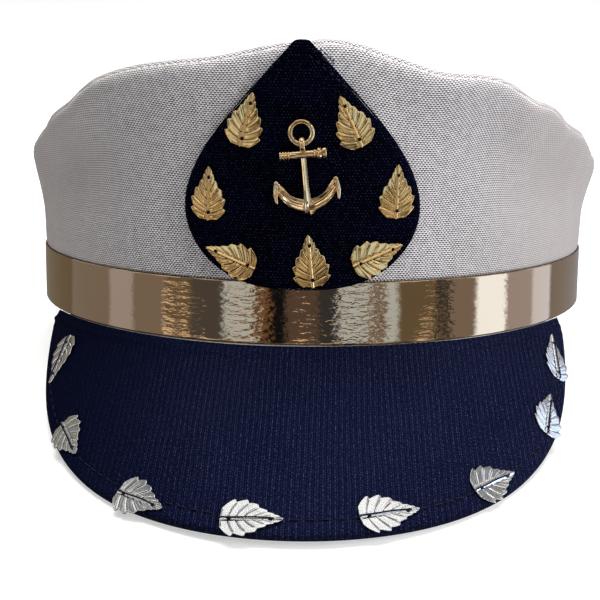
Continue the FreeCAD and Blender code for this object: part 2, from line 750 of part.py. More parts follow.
def all_pieces():
    pieces = {}
    pieces.update(band_pieces())
    pieces.update(crown_pieces())
    pieces.update(visor_pieces())
    pieces.update(badge_pieces())
    pieces.update(leaf_pieces())
    axes = anchor_axes()
    drill = prong_drill(axes)
    for name in ("badge_cover", "badge_board", "badge_backing", "crown_front_panel",
                 "front_stay", "crown_lining_side"):
        pieces[name] = pieces[name].cut(drill)
    pieces["anchor_casting"] = place(anchor_casting(), *axes)
    pieces["anchor_ring"] = place(anchor_ring(), *axes)
    pieces["anchor_washer_plate"] = place(washer_plate(), *axes)
    return pieces


def rest_tilt():
    """Angle between the band plane and the surface that the cap stands on, in degrees."""
    full = TOP_COVER + BOARD + UNDER_COVER + LIP_DROP
    back = BAND_HALF_LENGTH - RIBBON_THICKNESS - COVER_THICKNESS
    steepest = 0.0
    for share in spread(-VISOR_END, VISOR_END, 197):
        edge = visor_point(share, visor_ruling(share)[3], full)
        steepest = max(steepest, math.atan2(-edge.z, back - edge.y))
    return math.degrees(steepest)


def stand(pieces):
    """Tilts the pieces onto the ground plane and centres them; returns the shift too."""
    tilt = rest_tilt()
    box = FreeCAD.BoundBox()
    for shape in pieces.values():
        shape.rotate(V(0, 0, 0), V(1, 0, 0), -tilt)
        box.add(shape.optimalBoundingBox(False, False))
    shift = V(-(box.XMin + box.XMax) / 2, -(box.YMin + box.YMax) / 2, -box.ZMin)
    for shape in pieces.values():
        shape.translate(shift)
    return tilt, shift, box


def report(tilt, shift, box):
    """Prints the places that the record needs, in the standing frame."""
    turn = FreeCAD.Rotation(V(1, 0, 0), -tilt)
    origin, across, up = anchor_axes()
    out = across.cross(up)
    pivot = origin + up * EYE_UP + out * EYE_OUT
    print("size", round(box.XLength, 2), round(box.YLength, 2), round(box.ZLength, 2))
    print("tilt", round(tilt, 3), "ring lean", round(ring_rest_angle(), 2))
    print("head opening", shift, "axis", turn.multVec(UP * -1))
    print("ring pivot", turn.multVec(pivot) + shift, "axis", turn.multVec(across))


def main():
    os.makedirs("parts", exist_ok=True)
    pieces = all_pieces()
    tilt, shift, box = stand(pieces)
    for name, shape in pieces.items():
        if not shape.isValid():
            print("not valid:", name)
        shape.exportStep(f"parts/{name}.step")
    report(tilt, shift, box)


main()
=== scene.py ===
"""Looks of the peaked cap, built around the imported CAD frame.

Shapes are worked out in millimetres in the cap's own frame (band's lower edge in z = 0, front
towards -Y), as in the CAD source, and to_row() carries them into the row frame in metres.
"""
import json
import math
import bmesh
import bpy
import numpy as np
from mathutils import Matrix

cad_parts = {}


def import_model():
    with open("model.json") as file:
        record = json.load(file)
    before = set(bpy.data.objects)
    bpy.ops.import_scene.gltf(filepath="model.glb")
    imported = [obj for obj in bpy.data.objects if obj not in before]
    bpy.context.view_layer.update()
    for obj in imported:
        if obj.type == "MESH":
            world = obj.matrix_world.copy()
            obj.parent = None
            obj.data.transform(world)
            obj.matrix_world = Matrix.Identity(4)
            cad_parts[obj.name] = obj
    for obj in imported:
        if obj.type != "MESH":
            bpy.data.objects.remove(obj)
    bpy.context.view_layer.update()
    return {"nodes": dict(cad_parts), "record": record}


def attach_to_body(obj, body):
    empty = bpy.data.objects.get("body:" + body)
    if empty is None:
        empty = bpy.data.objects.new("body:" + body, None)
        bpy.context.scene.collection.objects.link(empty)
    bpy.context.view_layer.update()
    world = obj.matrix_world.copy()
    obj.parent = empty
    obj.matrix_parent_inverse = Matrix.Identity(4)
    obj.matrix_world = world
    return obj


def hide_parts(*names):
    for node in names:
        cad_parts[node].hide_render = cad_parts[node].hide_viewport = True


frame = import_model()

MM = 0.001
CAP = "cap"
RING = "anchor_ring"

# Band
BAND_WIDTH, BAND_LENGTH = 88.0, 98.0
RIBBON_HEIGHT = 17.0
RIBBON_THICKNESS = 0.4
SWEATBAND_DEPTH = 3.0
SWEATBAND_HEIGHT = 28.0

# Crown
BASE_WIDTH, BASE_LENGTH = 87.6, 97.6
RIM_WIDTH, RIM_LENGTH = 90.5, 104.0
RIM_FRONT, RIM_BACK = 77.0, 35.5
TOP_DOME = 3.0
TOP_THICKNESS = 1.0
WALL_CLOTH, TOP_CLOTH = 1.0, 0.9
SIDE_SEAM = 88.0
LINING_DEPTH = 2.0
LINING_DROP = 1.6             # from the rim down to the side lining's upper edge
LINING_TOP = (177.2, 204.0)   # width and length of the top lining's cut
LINING_GATHERS = 24           # folds round the rim
RIM_TAPE_DROP = (5.5, 1.6)    # from the rim down to the tape's lower and upper edges
RIM_TAPE_DEPTH = 1.25
STAY_HALF_ANGLE = 40.0        # degrees each side of the front
STAY_DROP = 6.0
STAY_DEPTH = 1.25
STAY_THICKNESS = 0.65

# Visor
VISOR_HALF_ANGLE = 59.7
VISOR_FAN = 0.5
SLOPE_FRONT, SLOPE_SIDE = 37.0, 60.0
VISOR_LENGTH = 58.9
VISOR_TAPER = 0.685
VISOR_END = 0.98
TOP_COVER, BOARD, UNDER_COVER = 0.6, 1.4, 0.5
LIP_DROP = 0.2
TOPSTITCH_INSET = 4.6

# Badge
BADGE_FOOT, BADGE_TIP = 15.0, 79.3
BADGE_OUTLINE = ((11.0, 69.5), (22.0, 57.0), (29.2, 45.0), (31.0, 36.0), (27.8, 26.3), (17.5, 17.7))
BADGE_STANDOFF = 0.3
BADGE_FACE = 2.0

# Leaves: length, width
GOLD_LEAF = (14.4, 9.9)
SILVER_LEAF = (15.6, 10.6)
LEAF_HOLES = (0.16, 0.80)
LEAF_HOLE_RADIUS = 0.5
LEAF_LIFT = 0.06
BADGE_LEAVES = (
    (-15.7, 52.7, -12.2, 66.4), (15.4, 52.8, 9.6, 65.7),
    (-24.3, 33.3, -23.8, 47.3), (24.4, 34.2, 24.7, 48.4),
    (-11.6, 20.8, -24.9, 26.2), (13.2, 21.8, 26.4, 27.5), (3.2, 16.4, 1.9, 29.8),
)
VISOR_LEAVES = (
    (-0.82, 0.27, -0.83, 0.75), (-0.68, 0.82, -0.575, 0.89),
    (-0.41, 0.935, -0.28, 0.945), (-0.155, 0.94, -0.015, 0.92),
    (0.135, 0.915, 0.275, 0.915), (0.405, 0.895, 0.545, 0.905),
    (0.70, 0.865, 0.77, 0.695), (0.85, 0.71, 0.89, 0.28),
)

# Anchor
ANCHOR_ACROSS, ANCHOR_HEIGHT, ANCHOR_LEAN = 0.6, 51.25, 5.7
RING_RADIUS, RING_WIRE = 2.8, 0.68
EYE_UP, EYE_OUT, EYE_WIDTH = 2.7, 2.05, 1.4
EYE_RADIUS, EYE_HOLE = 1.95, 0.95
RING_CLEARANCE = 0.3

# Camera, in the cap's frame
CAMERA_DISTANCE, CAMERA_SIDE, CAMERA_HEIGHT = 430.0, 1.68, 71.74
CAMERA_PITCH, CAMERA_YAW, CAMERA_ROLL = 10.14, -2.21, 0.49
CAMERA_LENS = 76.79


# ---------------------------------------------------------------- frame and numbers

mount = next(m for m in frame["record"]["mounts"] if m["name"] == "head_opening")
TILT = math.atan2(-mount["axis"][1], -mount["axis"][2])
ROW_ORIGIN = np.array(mount["pos_m"])
TO_ROW = np.array([
    [1, 0, 0],
    [0, math.cos(TILT), math.sin(TILT)],
    [0, -math.sin(TILT), math.cos(TILT)],
])


def to_row(points):
    """Cap frame in millimetres to row frame in metres."""
    return np.asarray(points, float) @ TO_ROW.T * MM + ROW_ORIGIN


def unit(vectors):
    length = np.linalg.norm(vectors, axis=-1, keepdims=True)
    return vectors / np.maximum(length, 1e-9)


def stack(*parts):
    return np.stack(np.broadcast_arrays(*parts), -1).astype(float)


def bump(x, middle, width):
    """Bell curve of height one."""
    return np.exp(-((np.asarray(x, float) - middle) / width) ** 2)


def turns(count):
    """Equal angles once round, in radians."""
    return np.linspace(0, 2 * math.pi, count, endpoint=False)


def half_wave(count):
    """Rise from zero to one and back."""
    return np.sin(np.linspace(0, math.pi, count))


def smooth(x, low, high):
    t = np.clip((np.asarray(x, float) - low) / (high - low), 0, 1)
    return t * t * (3 - 2 * t)


def noise(u, v, seed, period=256):
    """Smooth value noise from -1 to 1; it repeats after a period in u."""
    table = np.random.RandomState(seed).rand(period, 256) * 2 - 1
    u, v = np.broadcast_arrays(np.asarray(u, float), np.asarray(v, float))
    iu, iv = np.floor(u).astype(int), np.floor(v).astype(int)
    fu, fv = u - iu, v - iv
    fu, fv = fu * fu * (3 - 2 * fu), fv * fv * (3 - 2 * fv)
    a, b = table[iu % period, iv % 256], table[(iu + 1) % period, iv % 256]
    c, d = table[iu % period, (iv + 1) % 256], table[(iu + 1) % period, (iv + 1) % 256]
    return (a * (1 - fu) + b * fu) * (1 - fv) + (c * (1 - fu) + d * fu) * fv


def lengths_along(grid, axis):
    """Running length along one axis of a grid of points."""
    steps = np.linalg.norm(np.diff(grid, axis=axis), axis=-1)
    zero = np.zeros_like(np.take(steps, [0], axis=axis))
    return np.concatenate([zero, np.cumsum(steps, axis=axis)], axis=axis)


def flat_pattern(grid):
    """Flat coordinates of a grid: the running lengths along both of its axes."""
    return stack(lengths_along(grid, 0), lengths_along(grid, 1))


def grid_normals(grid, outwards):
    """Unit normals of a grid, turned to the side that outwards points to."""
    normal = unit(np.cross(np.gradient(grid, axis=0), np.gradient(grid, axis=1)))
    side = np.sign((normal * outwards).sum(-1, keepdims=True))
    return normal * np.where(side == 0, 1, side)


# ---------------------------------------------------------------- meshes

def add_mesh(name, points, faces, material, flat=None, relief=None, weld=False, in_row=False):
    """Object from points and faces; flat is a UV per point in millimetres."""
    mesh = bpy.data.meshes.new(name)
    places = np.asarray(points, float) if in_row else to_row(points)
    mesh.from_pydata(places.tolist(), [], [tuple(f) for f in faces])
    if flat is not None:
        corner = np.empty(len(mesh.loops), np.int32)
        mesh.loops.foreach_get("vertex_index", corner)
        layer = mesh.uv_layers.new(name="flat")
        layer.data.foreach_set("uv", np.asarray(flat, np.float32)[corner].ravel())
    if relief is not None:
        data = mesh.attributes.new("relief", "FLOAT", "POINT")
        data.data.foreach_set("value", np.asarray(relief, np.float32))
    work = bmesh.new()
    work.from_mesh(mesh)
    if weld:
        bmesh.ops.remove_doubles(work, verts=work.verts, dist=1e-6)
    bmesh.ops.recalc_face_normals(work, faces=work.faces)
    work.to_mesh(mesh)
    work.free()
    mesh.polygons.foreach_set("use_smooth", [True] * len(mesh.polygons))
    mesh.materials.append(material)
    piece = bpy.data.objects.new(name, mesh)
    bpy.context.scene.collection.objects.link(piece)
    return piece


def grid_faces(columns, rows, start=0):
    i, j = np.meshgrid(np.arange(columns - 1), np.arange(rows - 1), indexing="ij")
    a = start + (i * rows + j).ravel()
    return np.stack([a, a + rows, a + rows + 1, a + 1], -1).tolist()


def hem_faces(columns, rows, ring=False):
    """Faces that join the edges of two grids; a ring has none at its ends."""
    count = columns * rows
    faces = []
    for i in range(columns - 1):
        for j in (0, rows - 1):
            a, b = i * rows + j, (i + 1) * rows + j
            faces.append([a, b, b + count, a + count])
    if not ring:
        for i in (0, columns - 1):
            for j in range(rows - 1):
                a = i * rows + j
                faces.append([a, a + 1, a + 1 + count, a + count])
    return faces


def attach(piece, node, body=CAP):
    """Puts a piece on its body and in place of its CAD node, if it has one."""
    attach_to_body(piece, body)
    if node:
        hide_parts(node)


def cloth(name, slot, outer, inner, flat, material, ring=False, relief=None):
    """Thin closed piece between two grids of the same size, which stands for the node of its name.

    A ring's first and last columns coincide, so it has no end faces and is welded there.
    """
    columns, rows = outer.shape[:2]
    points = np.concatenate([outer.reshape(-1, 3), inner.reshape(-1, 3)])
    faces = grid_faces(columns, rows) + grid_faces(columns, rows, columns * rows)
    faces += hem_faces(columns, rows, ring)
    uv = np.concatenate([flat.reshape(-1, 2)] * 2)
    if relief is not None:
        relief = np.concatenate([np.asarray(relief).ravel()] * 2)
    piece = add_mesh(name, points, faces, material, uv, relief, weld=ring)
    attach(piece, name)
    return piece


def loop_faces(loops, sides, closed=False):
    """Faces between equal loops of points; the end loops are capped, unless they meet."""
    faces = []
    for i in range(loops if closed else loops - 1):
        for k in range(sides):
            a, b, n = i * sides, (i + 1) % loops * sides, (k + 1) % sides
            faces.append([a + k, a + n, b + n, b + k])
    if not closed:
        faces.append(list(range(sides)))
        faces.append([(loops - 1) * sides + k for k in range(sides)])
    return faces


def tube(path, radius, sides, twist_pitch=0.0, closed=False):
    """Points and faces of a tube along a path; a twist pitch makes it look two-ply."""
    path = np.asarray(path, float)
    count = len(path)
    if closed:
        tangent = unit(np.roll(path, -1, 0) - np.roll(path, 1, 0))
    else:
        tangent = unit(np.gradient(path, axis=0))
    normal = np.zeros_like(path)
    guess = np.array([0.0, 0.0, 1.0]) if abs(tangent[0][2]) < 0.9 else np.array([1.0, 0.0, 0.0])
    for i in range(count):
        guess = guess - tangent[i] * (guess @ tangent[i])
        guess = guess / np.linalg.norm(guess)
        normal[i] = guess
    side = np.cross(tangent, normal)
    walked = np.concatenate([[0], np.cumsum(np.linalg.norm(np.diff(path, axis=0), axis=1))])
    angle = turns(sides)
    size = np.broadcast_to(np.asarray(radius, float), (count,))[:, None] * np.ones(sides)
    if twist_pitch:
        size = size * (1 + 0.2 * np.cos(2 * angle - 2 * math.pi * walked[:, None] / twist_pitch))
    rings = (path[:, None] + normal[:, None] * (size * np.cos(angle))[..., None]
             + side[:, None] * (size * np.sin(angle))[..., None])
    return rings.reshape(-1, 3), loop_faces(count, sides, closed)


def joined(parts):
    """One set of points and faces from several."""
    points, faces, start = [], [], 0
    for part_points, part_faces in parts:
        points.append(part_points)
        faces.extend([[start + k for k in f] for f in part_faces])
        start += len(part_points)
    return np.concatenate(points), faces


def joined_piece(name, parts, material, node=None):
    points, faces = joined(parts)
    attach(add_mesh(name, points, faces, material), node)


# ---------------------------------------------------------------- materials

class Nodes:
    """Small helper around one material's node tree."""

    def __init__(self, name):
        self.material = bpy.data.materials.new(name)
        self.material.use_nodes = True
        self.tree = self.material.node_tree
        self.shader = self.tree.nodes["Principled BSDF"]

    def set(self, **values):
        for key, value in values.items():
            self.shader.inputs[key.replace("_", " ")].default_value = value

    def node(self, kind, *links, **settings):
        made = self.tree.nodes.new(kind)
        for key, value in settings.items():
            setattr(made, key, value)
        for place, value in enumerate(links):
            self.feed(made.inputs[place], value)
        return made

    def feed(self, socket, value):
        if value is None:
            return
        if isinstance(value, bpy.types.NodeSocket):
            self.tree.links.new(value, socket)
        else:
            socket.default_value = value

    def math(self, operation, *values):
        return self.node("ShaderNodeMath", *values, operation=operation).outputs[0]

    def times(self, first, second):
        return self.math("MULTIPLY", first, second)

    def plus(self, first, second):
        return self.math("ADD", first, second)

    def flat(self):
        """The two flat-pattern coordinates, in millimetres."""
        uv = self.node("ShaderNodeUVMap", uv_map="flat").outputs[0]
        parts = self.node("ShaderNodeSeparateXYZ", uv)
        return uv, parts.outputs[0], parts.outputs[1]

    def place(self):
        return self.node("ShaderNodeTexCoord").outputs["Object"]

    def stored(self, name, output="Fac"):
        """Value that a mesh holds at its points under a name."""
        return self.node("ShaderNodeAttribute", attribute_name=name).outputs[output]

    def glow(self, colour, strength):
        """Plain light in place of the shader."""
        light = self.node("ShaderNodeEmission", colour, strength)
        self.tree.links.new(light.outputs[0], self.tree.nodes["Material Output"].inputs["Surface"])

    def noise(self, vector, scale, detail, roughness=0.5):
        made = self.node("ShaderNodeTexNoise", vector)
        made.inputs["Scale"].default_value = scale
        made.inputs["Detail"].default_value = detail
        made.inputs["Roughness"].default_value = roughness
        return made.outputs["Fac"]

    def ramp(self, value, low, high, low_out=0.0, high_out=1.0):
        made = self.node("ShaderNodeMapRange", value, low, high, low_out, high_out)
        made.interpolation_type = "SMOOTHSTEP"
        return made.outputs[0]

    def mix(self, share, first, second):
        made = self.node("ShaderNodeMix", data_type="RGBA")
        self.feed(made.inputs[0], share)
        self.feed(made.inputs[6], first)
        self.feed(made.inputs[7], second)
        return made.outputs[2]

    def scaled(self, vector, x, y):
        made = self.node("ShaderNodeMapping", vector)
        made.inputs["Scale"].default_value = (x, y, 1.0)
        return made.outputs[0]

    def wave(self, value, pitch):
        """Sine of a length with a given pitch."""
        return self.math("SINE", self.times(value, 2 * math.pi / pitch))

    def colour(self, value):
        self.feed(self.shader.inputs["Base Color"], value)

    def roughness(self, value):
        self.feed(self.shader.inputs["Roughness"], value)

    def bump(self, height, distance, strength, after=None):
        made = self.node("ShaderNodeBump")
        made.inputs["Strength"].default_value = strength
        made.inputs["Distance"].default_value = distance
        self.feed(made.inputs["Height"], height)
        if after is not None:
            self.feed(made.inputs["Normal"], after)
        self.feed(self.shader.inputs["Normal"], made.outputs[0])
        return made.outputs[0]


def rgb(r, g, b):
    """Linear colour from screen values of 0 to 255."""
    def linear(c):
        c /= 255
        return c / 12.92 if c <= 0.04045 else ((c + 0.055) / 1.055) ** 2.4
    return (linear(r), linear(g), linear(b), 1.0)


def dot_weave(nodes, u, v, pitch, row):
    """Rows of raised dots laid like bricks, from about -1 to 1."""
    dots = nodes.times(nodes.wave(u, pitch), nodes.wave(v, row * 2))
    rows = nodes.wave(v, row)
    return nodes.plus(nodes.times(dots, 0.6), nodes.times(rows, 0.45))


def crown_material():
    n = Nodes("crown_weave")
    uv, u, v = n.flat()
    dots = dot_weave(n, u, v, 0.98, 0.56)
    slub = n.noise(n.scaled(uv, 0.5, 0.5), 1.0, 2.0)
    cloud = n.noise(n.scaled(uv, 0.05, 0.05), 1.0, 3.0)
    thread = n.ramp(n.plus(dots, n.times(n.math("SUBTRACT", slub, 0.5), 0.4)), -0.38, 0.38)
    open_weave = n.ramp(n.math("ABSOLUTE", u), 30.0, 92.0, 1.0, 0.22)
    even = n.mix(cloud, rgb(158, 153, 150), rgb(170, 166, 165))
    woven = n.mix(thread, rgb(66, 62, 60), rgb(226, 225, 229))
    n.colour(n.mix(open_weave, even, woven))
    n.set(Roughness=0.85, Specular_IOR_Level=0.25)
    n.bump(thread, 0.12 * MM, 0.7)
    return n.material


def lining_material():
    n = Nodes("lining_cotton")
    uv, u, v = n.flat()
    warp, weft = n.wave(u, 0.5), n.wave(v, 0.5)
    cloth = n.times(warp, weft)
    cloud = n.noise(n.scaled(uv, 0.04, 0.08), 1.0, 4.0)
    n.colour(n.mix(cloud, rgb(214, 208, 198), rgb(240, 236, 228)))
    n.roughness(n.ramp(cloth, -1.0, 1.0, 0.95, 0.75))
    n.bump(cloth, 0.05 * MM, 0.6)
    return n.material


def wale_fabric(name, dark, light, wale_pitch, stitch_pitch):
    """Ribbed fabric: raised wales along v, with painted glints along each of them, painted shade between the
    wales and painted shade towards negative u.
    """
    n = Nodes(name)
    uv, u, v = n.flat()
    drift = n.times(n.noise(n.scaled(uv, 0.06, 0.03), 1.0, 2.0), 1.6)
    across = n.plus(u, drift)
    wale = n.wave(across, wale_pitch)
    glint = n.times(n.wave(n.plus(across, n.times(v, 2.0)), stitch_pitch * 2),
                    n.wave(n.math("SUBTRACT", across, n.times(v, 2.0)), stitch_pitch * 2))
    speck = n.noise(n.scaled(uv, 2.6, 2.6), 1.0, 1.0)
    cloud = n.noise(n.scaled(uv, 0.035, 0.03), 1.0, 3.0)
    rib = n.ramp(wale, -0.9, 0.9)
    # Bright specks along the wales: a painted glint, put into the base colour.
    painted_glint_mask = n.times(n.ramp(glint, -0.1, 0.8), n.ramp(speck, 0.45, 0.72))
    # Painted shade: darker towards negative u, the end of the visor at negative x, and the painted glints
    # fade there too.
    middle = n.ramp(u, -75.0, -10.0, 0.1, 1.0)
    # Painted shade between the wales: the colour is darker away from each wale's crest.
    tone = n.times(n.ramp(rib, 0.0, 1.0, 0.62, 1.0), n.ramp(cloud, 0.25, 0.75, 0.5, 1.0))
    base = n.mix(n.times(tone, middle), dark, light)
    painted_glint = n.times(n.times(painted_glint_mask, middle), n.ramp(rib, 0.0, 1.0, 0.35, 1.0))
    n.colour(n.mix(painted_glint, base, rgb(70, 76, 110)))
    n.roughness(n.ramp(painted_glint_mask, 0.0, 1.0, 0.8, 0.5))
    n.set(Specular_IOR_Level=0.03)
    first = n.bump(rib, 0.04 * MM, 0.5)
    n.bump(glint, 0.06 * MM, 0.8, first)
    return n.material


def badge_material():
    n = Nodes("badge_mesh_cloth")
    uv, u, v = n.flat()
    dots = dot_weave(n, u, v, 0.84, 0.74)
    speck = n.noise(n.scaled(uv, 1.7, 1.7), 1.0, 0.0)
    cloud = n.noise(n.scaled(uv, 0.05, 0.07), 1.0, 3.0)
    # Painted highlight: bluish specks on the mesh's dots, put into the colour as painted shine.
    painted_shine = n.times(n.ramp(dots, 0.25, 0.9), n.ramp(speck, 0.42, 0.68))
    base = n.mix(n.ramp(cloud, 0.3, 0.8), rgb(0, 0, 5), rgb(1, 2, 19))
    n.colour(n.mix(n.times(painted_shine, 0.5), base, rgb(54, 58, 88)))
    n.roughness(n.ramp(dots, -1.0, 1.0, 0.9, 0.6))
    n.set(Specular_IOR_Level=0.015)
    n.bump(dots, 0.06 * MM, 0.8)
    return n.material


def felt_material():
    """Matted fibres without a weave, read from the object's own coordinates."""
    n = Nodes("felt")
    fibres = n.noise(n.place(), 1080.0, 5.0, 0.7)
    n.colour(n.mix(n.ramp(fibres, 0.3, 0.7), rgb(30, 30, 38), rgb(62, 62, 74)))
    n.set(Roughness=0.95)
    n.bump(fibres, 0.15 * MM, 0.6)
    return n.material


FOIL_COLOUR = rgb(190, 160, 127)


def foil_material():
    n = Nodes("gold_foil")
    uv = n.flat()[0]
    creased = n.stored("relief")
    fine = n.noise(n.scaled(uv, 0.36, 1.05), 1.0, 2.0)
    height = n.times(fine, creased)
    cloud = n.noise(n.scaled(uv, 0.05, 0.08), 1.0, 2.0)
    n.colour(n.mix(cloud, FOIL_COLOUR, tuple(c * 0.93 for c in FOIL_COLOUR[:3]) + (1.0,)))
    n.roughness(n.ramp(fine, 0.3, 0.7, 0.02, 0.045))
    n.set(Metallic=1.0)
    n.bump(height, 0.40 * MM, 0.5)
    return n.material


def metal_material(name, colour, shade, low, high, rough):
    """Stamped sheet metal, darker where the relief is low."""
    n = Nodes(name)
    relief = n.stored("relief")
    worn = n.noise(n.place(), 900.0, 3.0)
    deep = n.ramp(n.plus(relief, n.times(n.math("SUBTRACT", worn, 0.5), 0.06)), low, high)
    n.colour(n.mix(deep, shade, colour))
    n.roughness(n.ramp(worn, 0.25, 0.75, rough * 0.75, rough * 1.35))
    n.set(Metallic=1.0)
    n.bump(n.noise(n.place(), 380.0, 2.0), 0.003 * MM, 0.5)
    return n.material


def plating_material(name, colour, shade, rough):
    """Polished plating over a casting, with a faint tarnish."""
    n = Nodes(name)
    cloud = n.noise(n.place(), 260.0, 4.0)
    n.colour(n.mix(n.ramp(cloud, 0.35, 0.75), colour, shade))
    n.roughness(n.ramp(cloud, 0.2, 0.8, rough * 0.7, rough * 1.5))
    n.set(Metallic=1.0)
    n.bump(cloud, 0.04 * MM, 0.4)
    return n.material


def thread_material():
    n = Nodes("navy_thread")
    fibres = n.noise(n.place(), 4200.0, 2.0)
    n.colour(n.mix(fibres, rgb(4, 5, 12), rgb(18, 20, 42)))
    n.set(Roughness=0.7, Specular_IOR_Level=0.2)
    n.bump(fibres, 0.03 * MM, 0.5)
    return n.material


def plastic_material():
    n = Nodes("stiffener_sheet")
    grain = n.noise(n.place(), 1100.0, 4.0)
    n.colour(n.mix(grain, rgb(206, 204, 196), rgb(232, 230, 224)))
    n.roughness(n.ramp(grain, 0.3, 0.7, 0.45, 0.7))
    n.bump(grain, 0.05 * MM, 0.4)
    return n.material


def leathercloth_material():
    n = Nodes("leathercloth")
    uv = n.flat()[0]
    cells = n.node("ShaderNodeTexVoronoi", n.scaled(uv, 1.1, 1.1), feature="DISTANCE_TO_EDGE").outputs[0]
    cloud = n.noise(n.scaled(uv, 0.06, 0.1), 1.0, 4.0)
    n.colour(n.mix(cloud, rgb(30, 27, 26), rgb(62, 55, 52)))
    n.roughness(n.ramp(cloud, 0.3, 0.7, 0.42, 0.62))
    n.bump(n.ramp(cells, 0.0, 0.25), 0.12 * MM, 0.7)
    return n.material


# ---------------------------------------------------------------- crown shapes

def top_height(x, y):
    """Height of the top panel's underside: a soap film over the rim, plus a low dome."""
    across, front = x / RIM_WIDTH, -y / RIM_LENGTH
    film = (0.3125 + 0.46875 * front + 0.1875 * (front ** 2 - across ** 2)
            + 0.03125 * (front ** 3 - 3 * front * across ** 2))
    dome = TOP_DOME * (1 - across ** 2 - front ** 2)
    return RIM_BACK + (RIM_FRONT - RIM_BACK) * film + dome


def rim_lean(t):
    return stack((RIM_WIDTH - BASE_WIDTH) * np.sin(t), -(RIM_LENGTH - BASE_LENGTH) * np.cos(t), 0 * t)


def wall_point(t, share, depth=0.0):
    """Side wall, from the band (share 0) to the rim (share 1); t is the azimuth in radians."""
    t, share = np.broadcast_arrays(np.asarray(t, float), np.asarray(share, float))
    straight = 0.35 + 0.6 * np.maximum(np.cos(t), 0) ** 2
    flare = straight * share + (1 - straight) * share ** 3
    lean = rim_lean(t)
    inwards = unit(lean) * -depth
    foot = stack(BASE_WIDTH * np.sin(t), -BASE_LENGTH * np.cos(t), 0 * t)
    rim = foot + lean
    rise = (top_height(rim[..., 0], rim[..., 1]) - RIBBON_HEIGHT) * share
    point = foot + lean * flare[..., None] + inwards
    point[..., 2] = RIBBON_HEIGHT + rise
    return point


def wall_height(t):
    """Height of the side wall above the band."""
    return wall_point(t, 1.0)[..., 2] - RIBBON_HEIGHT


def top_point(t, reach, lift=TOP_THICKNESS):
    x, y = reach * RIM_WIDTH * np.sin(t), -reach * RIM_LENGTH * np.cos(t)
    return stack(x, y, top_height(x, y) + lift)


WALL_ROWS, ROLL_ROWS, TOP_ROWS = 48, 17, 60
ROLL = 6.0                    # how far the rounded rim reaches down the wall and in over the top


def crown_profile(t):
    """Rows from the band over the rounded rim to the top's middle, for each azimuth in t."""
    t = np.asarray(t, float)[:, None]
    rim = wall_point(t, 1.0)
    height = rim[..., 2] - RIBBON_HEIGHT
    radius = np.linalg.norm(rim[..., :2], axis=-1)
    start = 1 - ROLL / height
    wall = wall_point(t, start * np.linspace(0, 1, WALL_ROWS))
    inner = 1 - ROLL / radius
    top = top_point(t, inner * np.linspace(1, 0, TOP_ROWS))
    corner = top_point(t, np.ones_like(t))
    q = np.linspace(0, 1, ROLL_ROWS)[1:-1, None]
    roll = (1 - q) ** 2 * wall[:, -1:] + 2 * q * (1 - q) * corner + q ** 2 * top[:, :1]
    return np.concatenate([wall, roll, top], axis=1)


SEAM_ROW = WALL_ROWS - 1 + ROLL_ROWS // 2


def crown_sag(point):
    """Displacement of the soft crown: raised shoulders, dents below the rim, gentle ripples."""
    x, y, z = point[..., 0], point[..., 1], point[..., 2]
    angle = np.arctan2(x, -y)
    front = smooth(-y, -20, 60)
    rise = smooth(z, RIBBON_HEIGHT + 6, 62)
    left = 4.4 * smooth(-x, 16, 56) - 1.6 * smooth(-x, 55, 68) + 0.5 * bump(x, -12, 8)
    middle = 0.4 + 2.7 * bump(x, 5.5, 15) + 0.7 * bump(x, 14, 8) - 0.6 * bump(x, 36, 8)
    right = 4.0 * smooth(x, 32, 55) - 2.4 * bump(x, 59.5, 6) - 0.3 * bump(x, 51, 5) - 1.9 * bump(x, 72.5, 6)
    lift = front * rise * (left + middle + right)
    dent = front * (-2.8 * bump(x, -70, 18) * bump(z, 46, 13) - 3.0 * bump(x, 72, 20) * bump(z, 45, 12))
    below = top_height(x, y) - z
    dent = dent + front * (3.0 * smooth(-x, 18, 56) * (1 - smooth(below, 2, 19))
                           + 4.0 * smooth(x, 14, 46) * (1 - smooth(below, 2, 18)))
    dent = dent + 1.2 * smooth(-y, -60, -10) * smooth(z, 42, 54) * smooth(np.abs(x), 76, 88)
    ripple = (0.35 * np.sin(angle * 11 + 0.6) + 0.25 * np.sin(angle * 23 + z * 0.05)) * smooth(z, 17, 30)
    ripple = ripple * (1 - 0.8 * bump(x, 0, 34) * front)
    low = 0.5 * noise((angle + math.pi) / (2 * math.pi) * 98, z / 26, 5, 98) * smooth(z, 17, 34)
    sideways = unit(stack(x, y, 0 * x))
    shift = sideways * (dent + ripple + low)[..., None]
    shift[..., 2] += lift
    return shift


def sagged(grid):
    return grid + crown_sag(grid)


def panel_columns(start, end, step):
    """Azimuths in radians, crowded towards both seams."""
    count = int(abs(end - start) / step) + 1
    inside = np.linspace(start, end, count)
    near = np.array([0.12, 0.3, 0.55, 0.9])
    values = np.concatenate([inside, start + near, end - near])
    return np.radians(np.sort(values))


def seam_dip(distance):
    """How far the cloth turns in at a distance from its seam, in millimetres."""
    return 0.45 * np.exp(-(distance / 0.8) ** 1.5)


def resample(profile, share_rows):
    """Rows at given shares of each column's length."""
    run = lengths_along(profile, 1)
    out = np.empty((len(profile), len(share_rows), 3))
    for i in range(len(profile)):
        for k in range(3):
            out[i, :, k] = np.interp(share_rows * run[i, -1], run[i], profile[i, :, k])
    return out


def edge_rows(count):
    """Shares from 0 to 1, crowded towards the end."""
    base = np.linspace(0, 1, count)
    return np.sort(np.concatenate([base, 1 - np.array([0.003, 0.008, 0.014, 0.022])]))


NARROWEST_STRIP = 10.5        # tapes are cut this wide and their edges are folded under


def declare(grid, size=None):
    """Works out a cloth piece's width and length in metres from the smooth surface that it was cut for, or
    from a size in millimetres; nothing uses them.
    """
    if size is None:
        length = max(lengths_along(grid, 1)[:, -1].max(), NARROWEST_STRIP)
        size = lengths_along(grid, 0)[-1].max(), length
    width, length = size[0] * MM, size[1] * MM


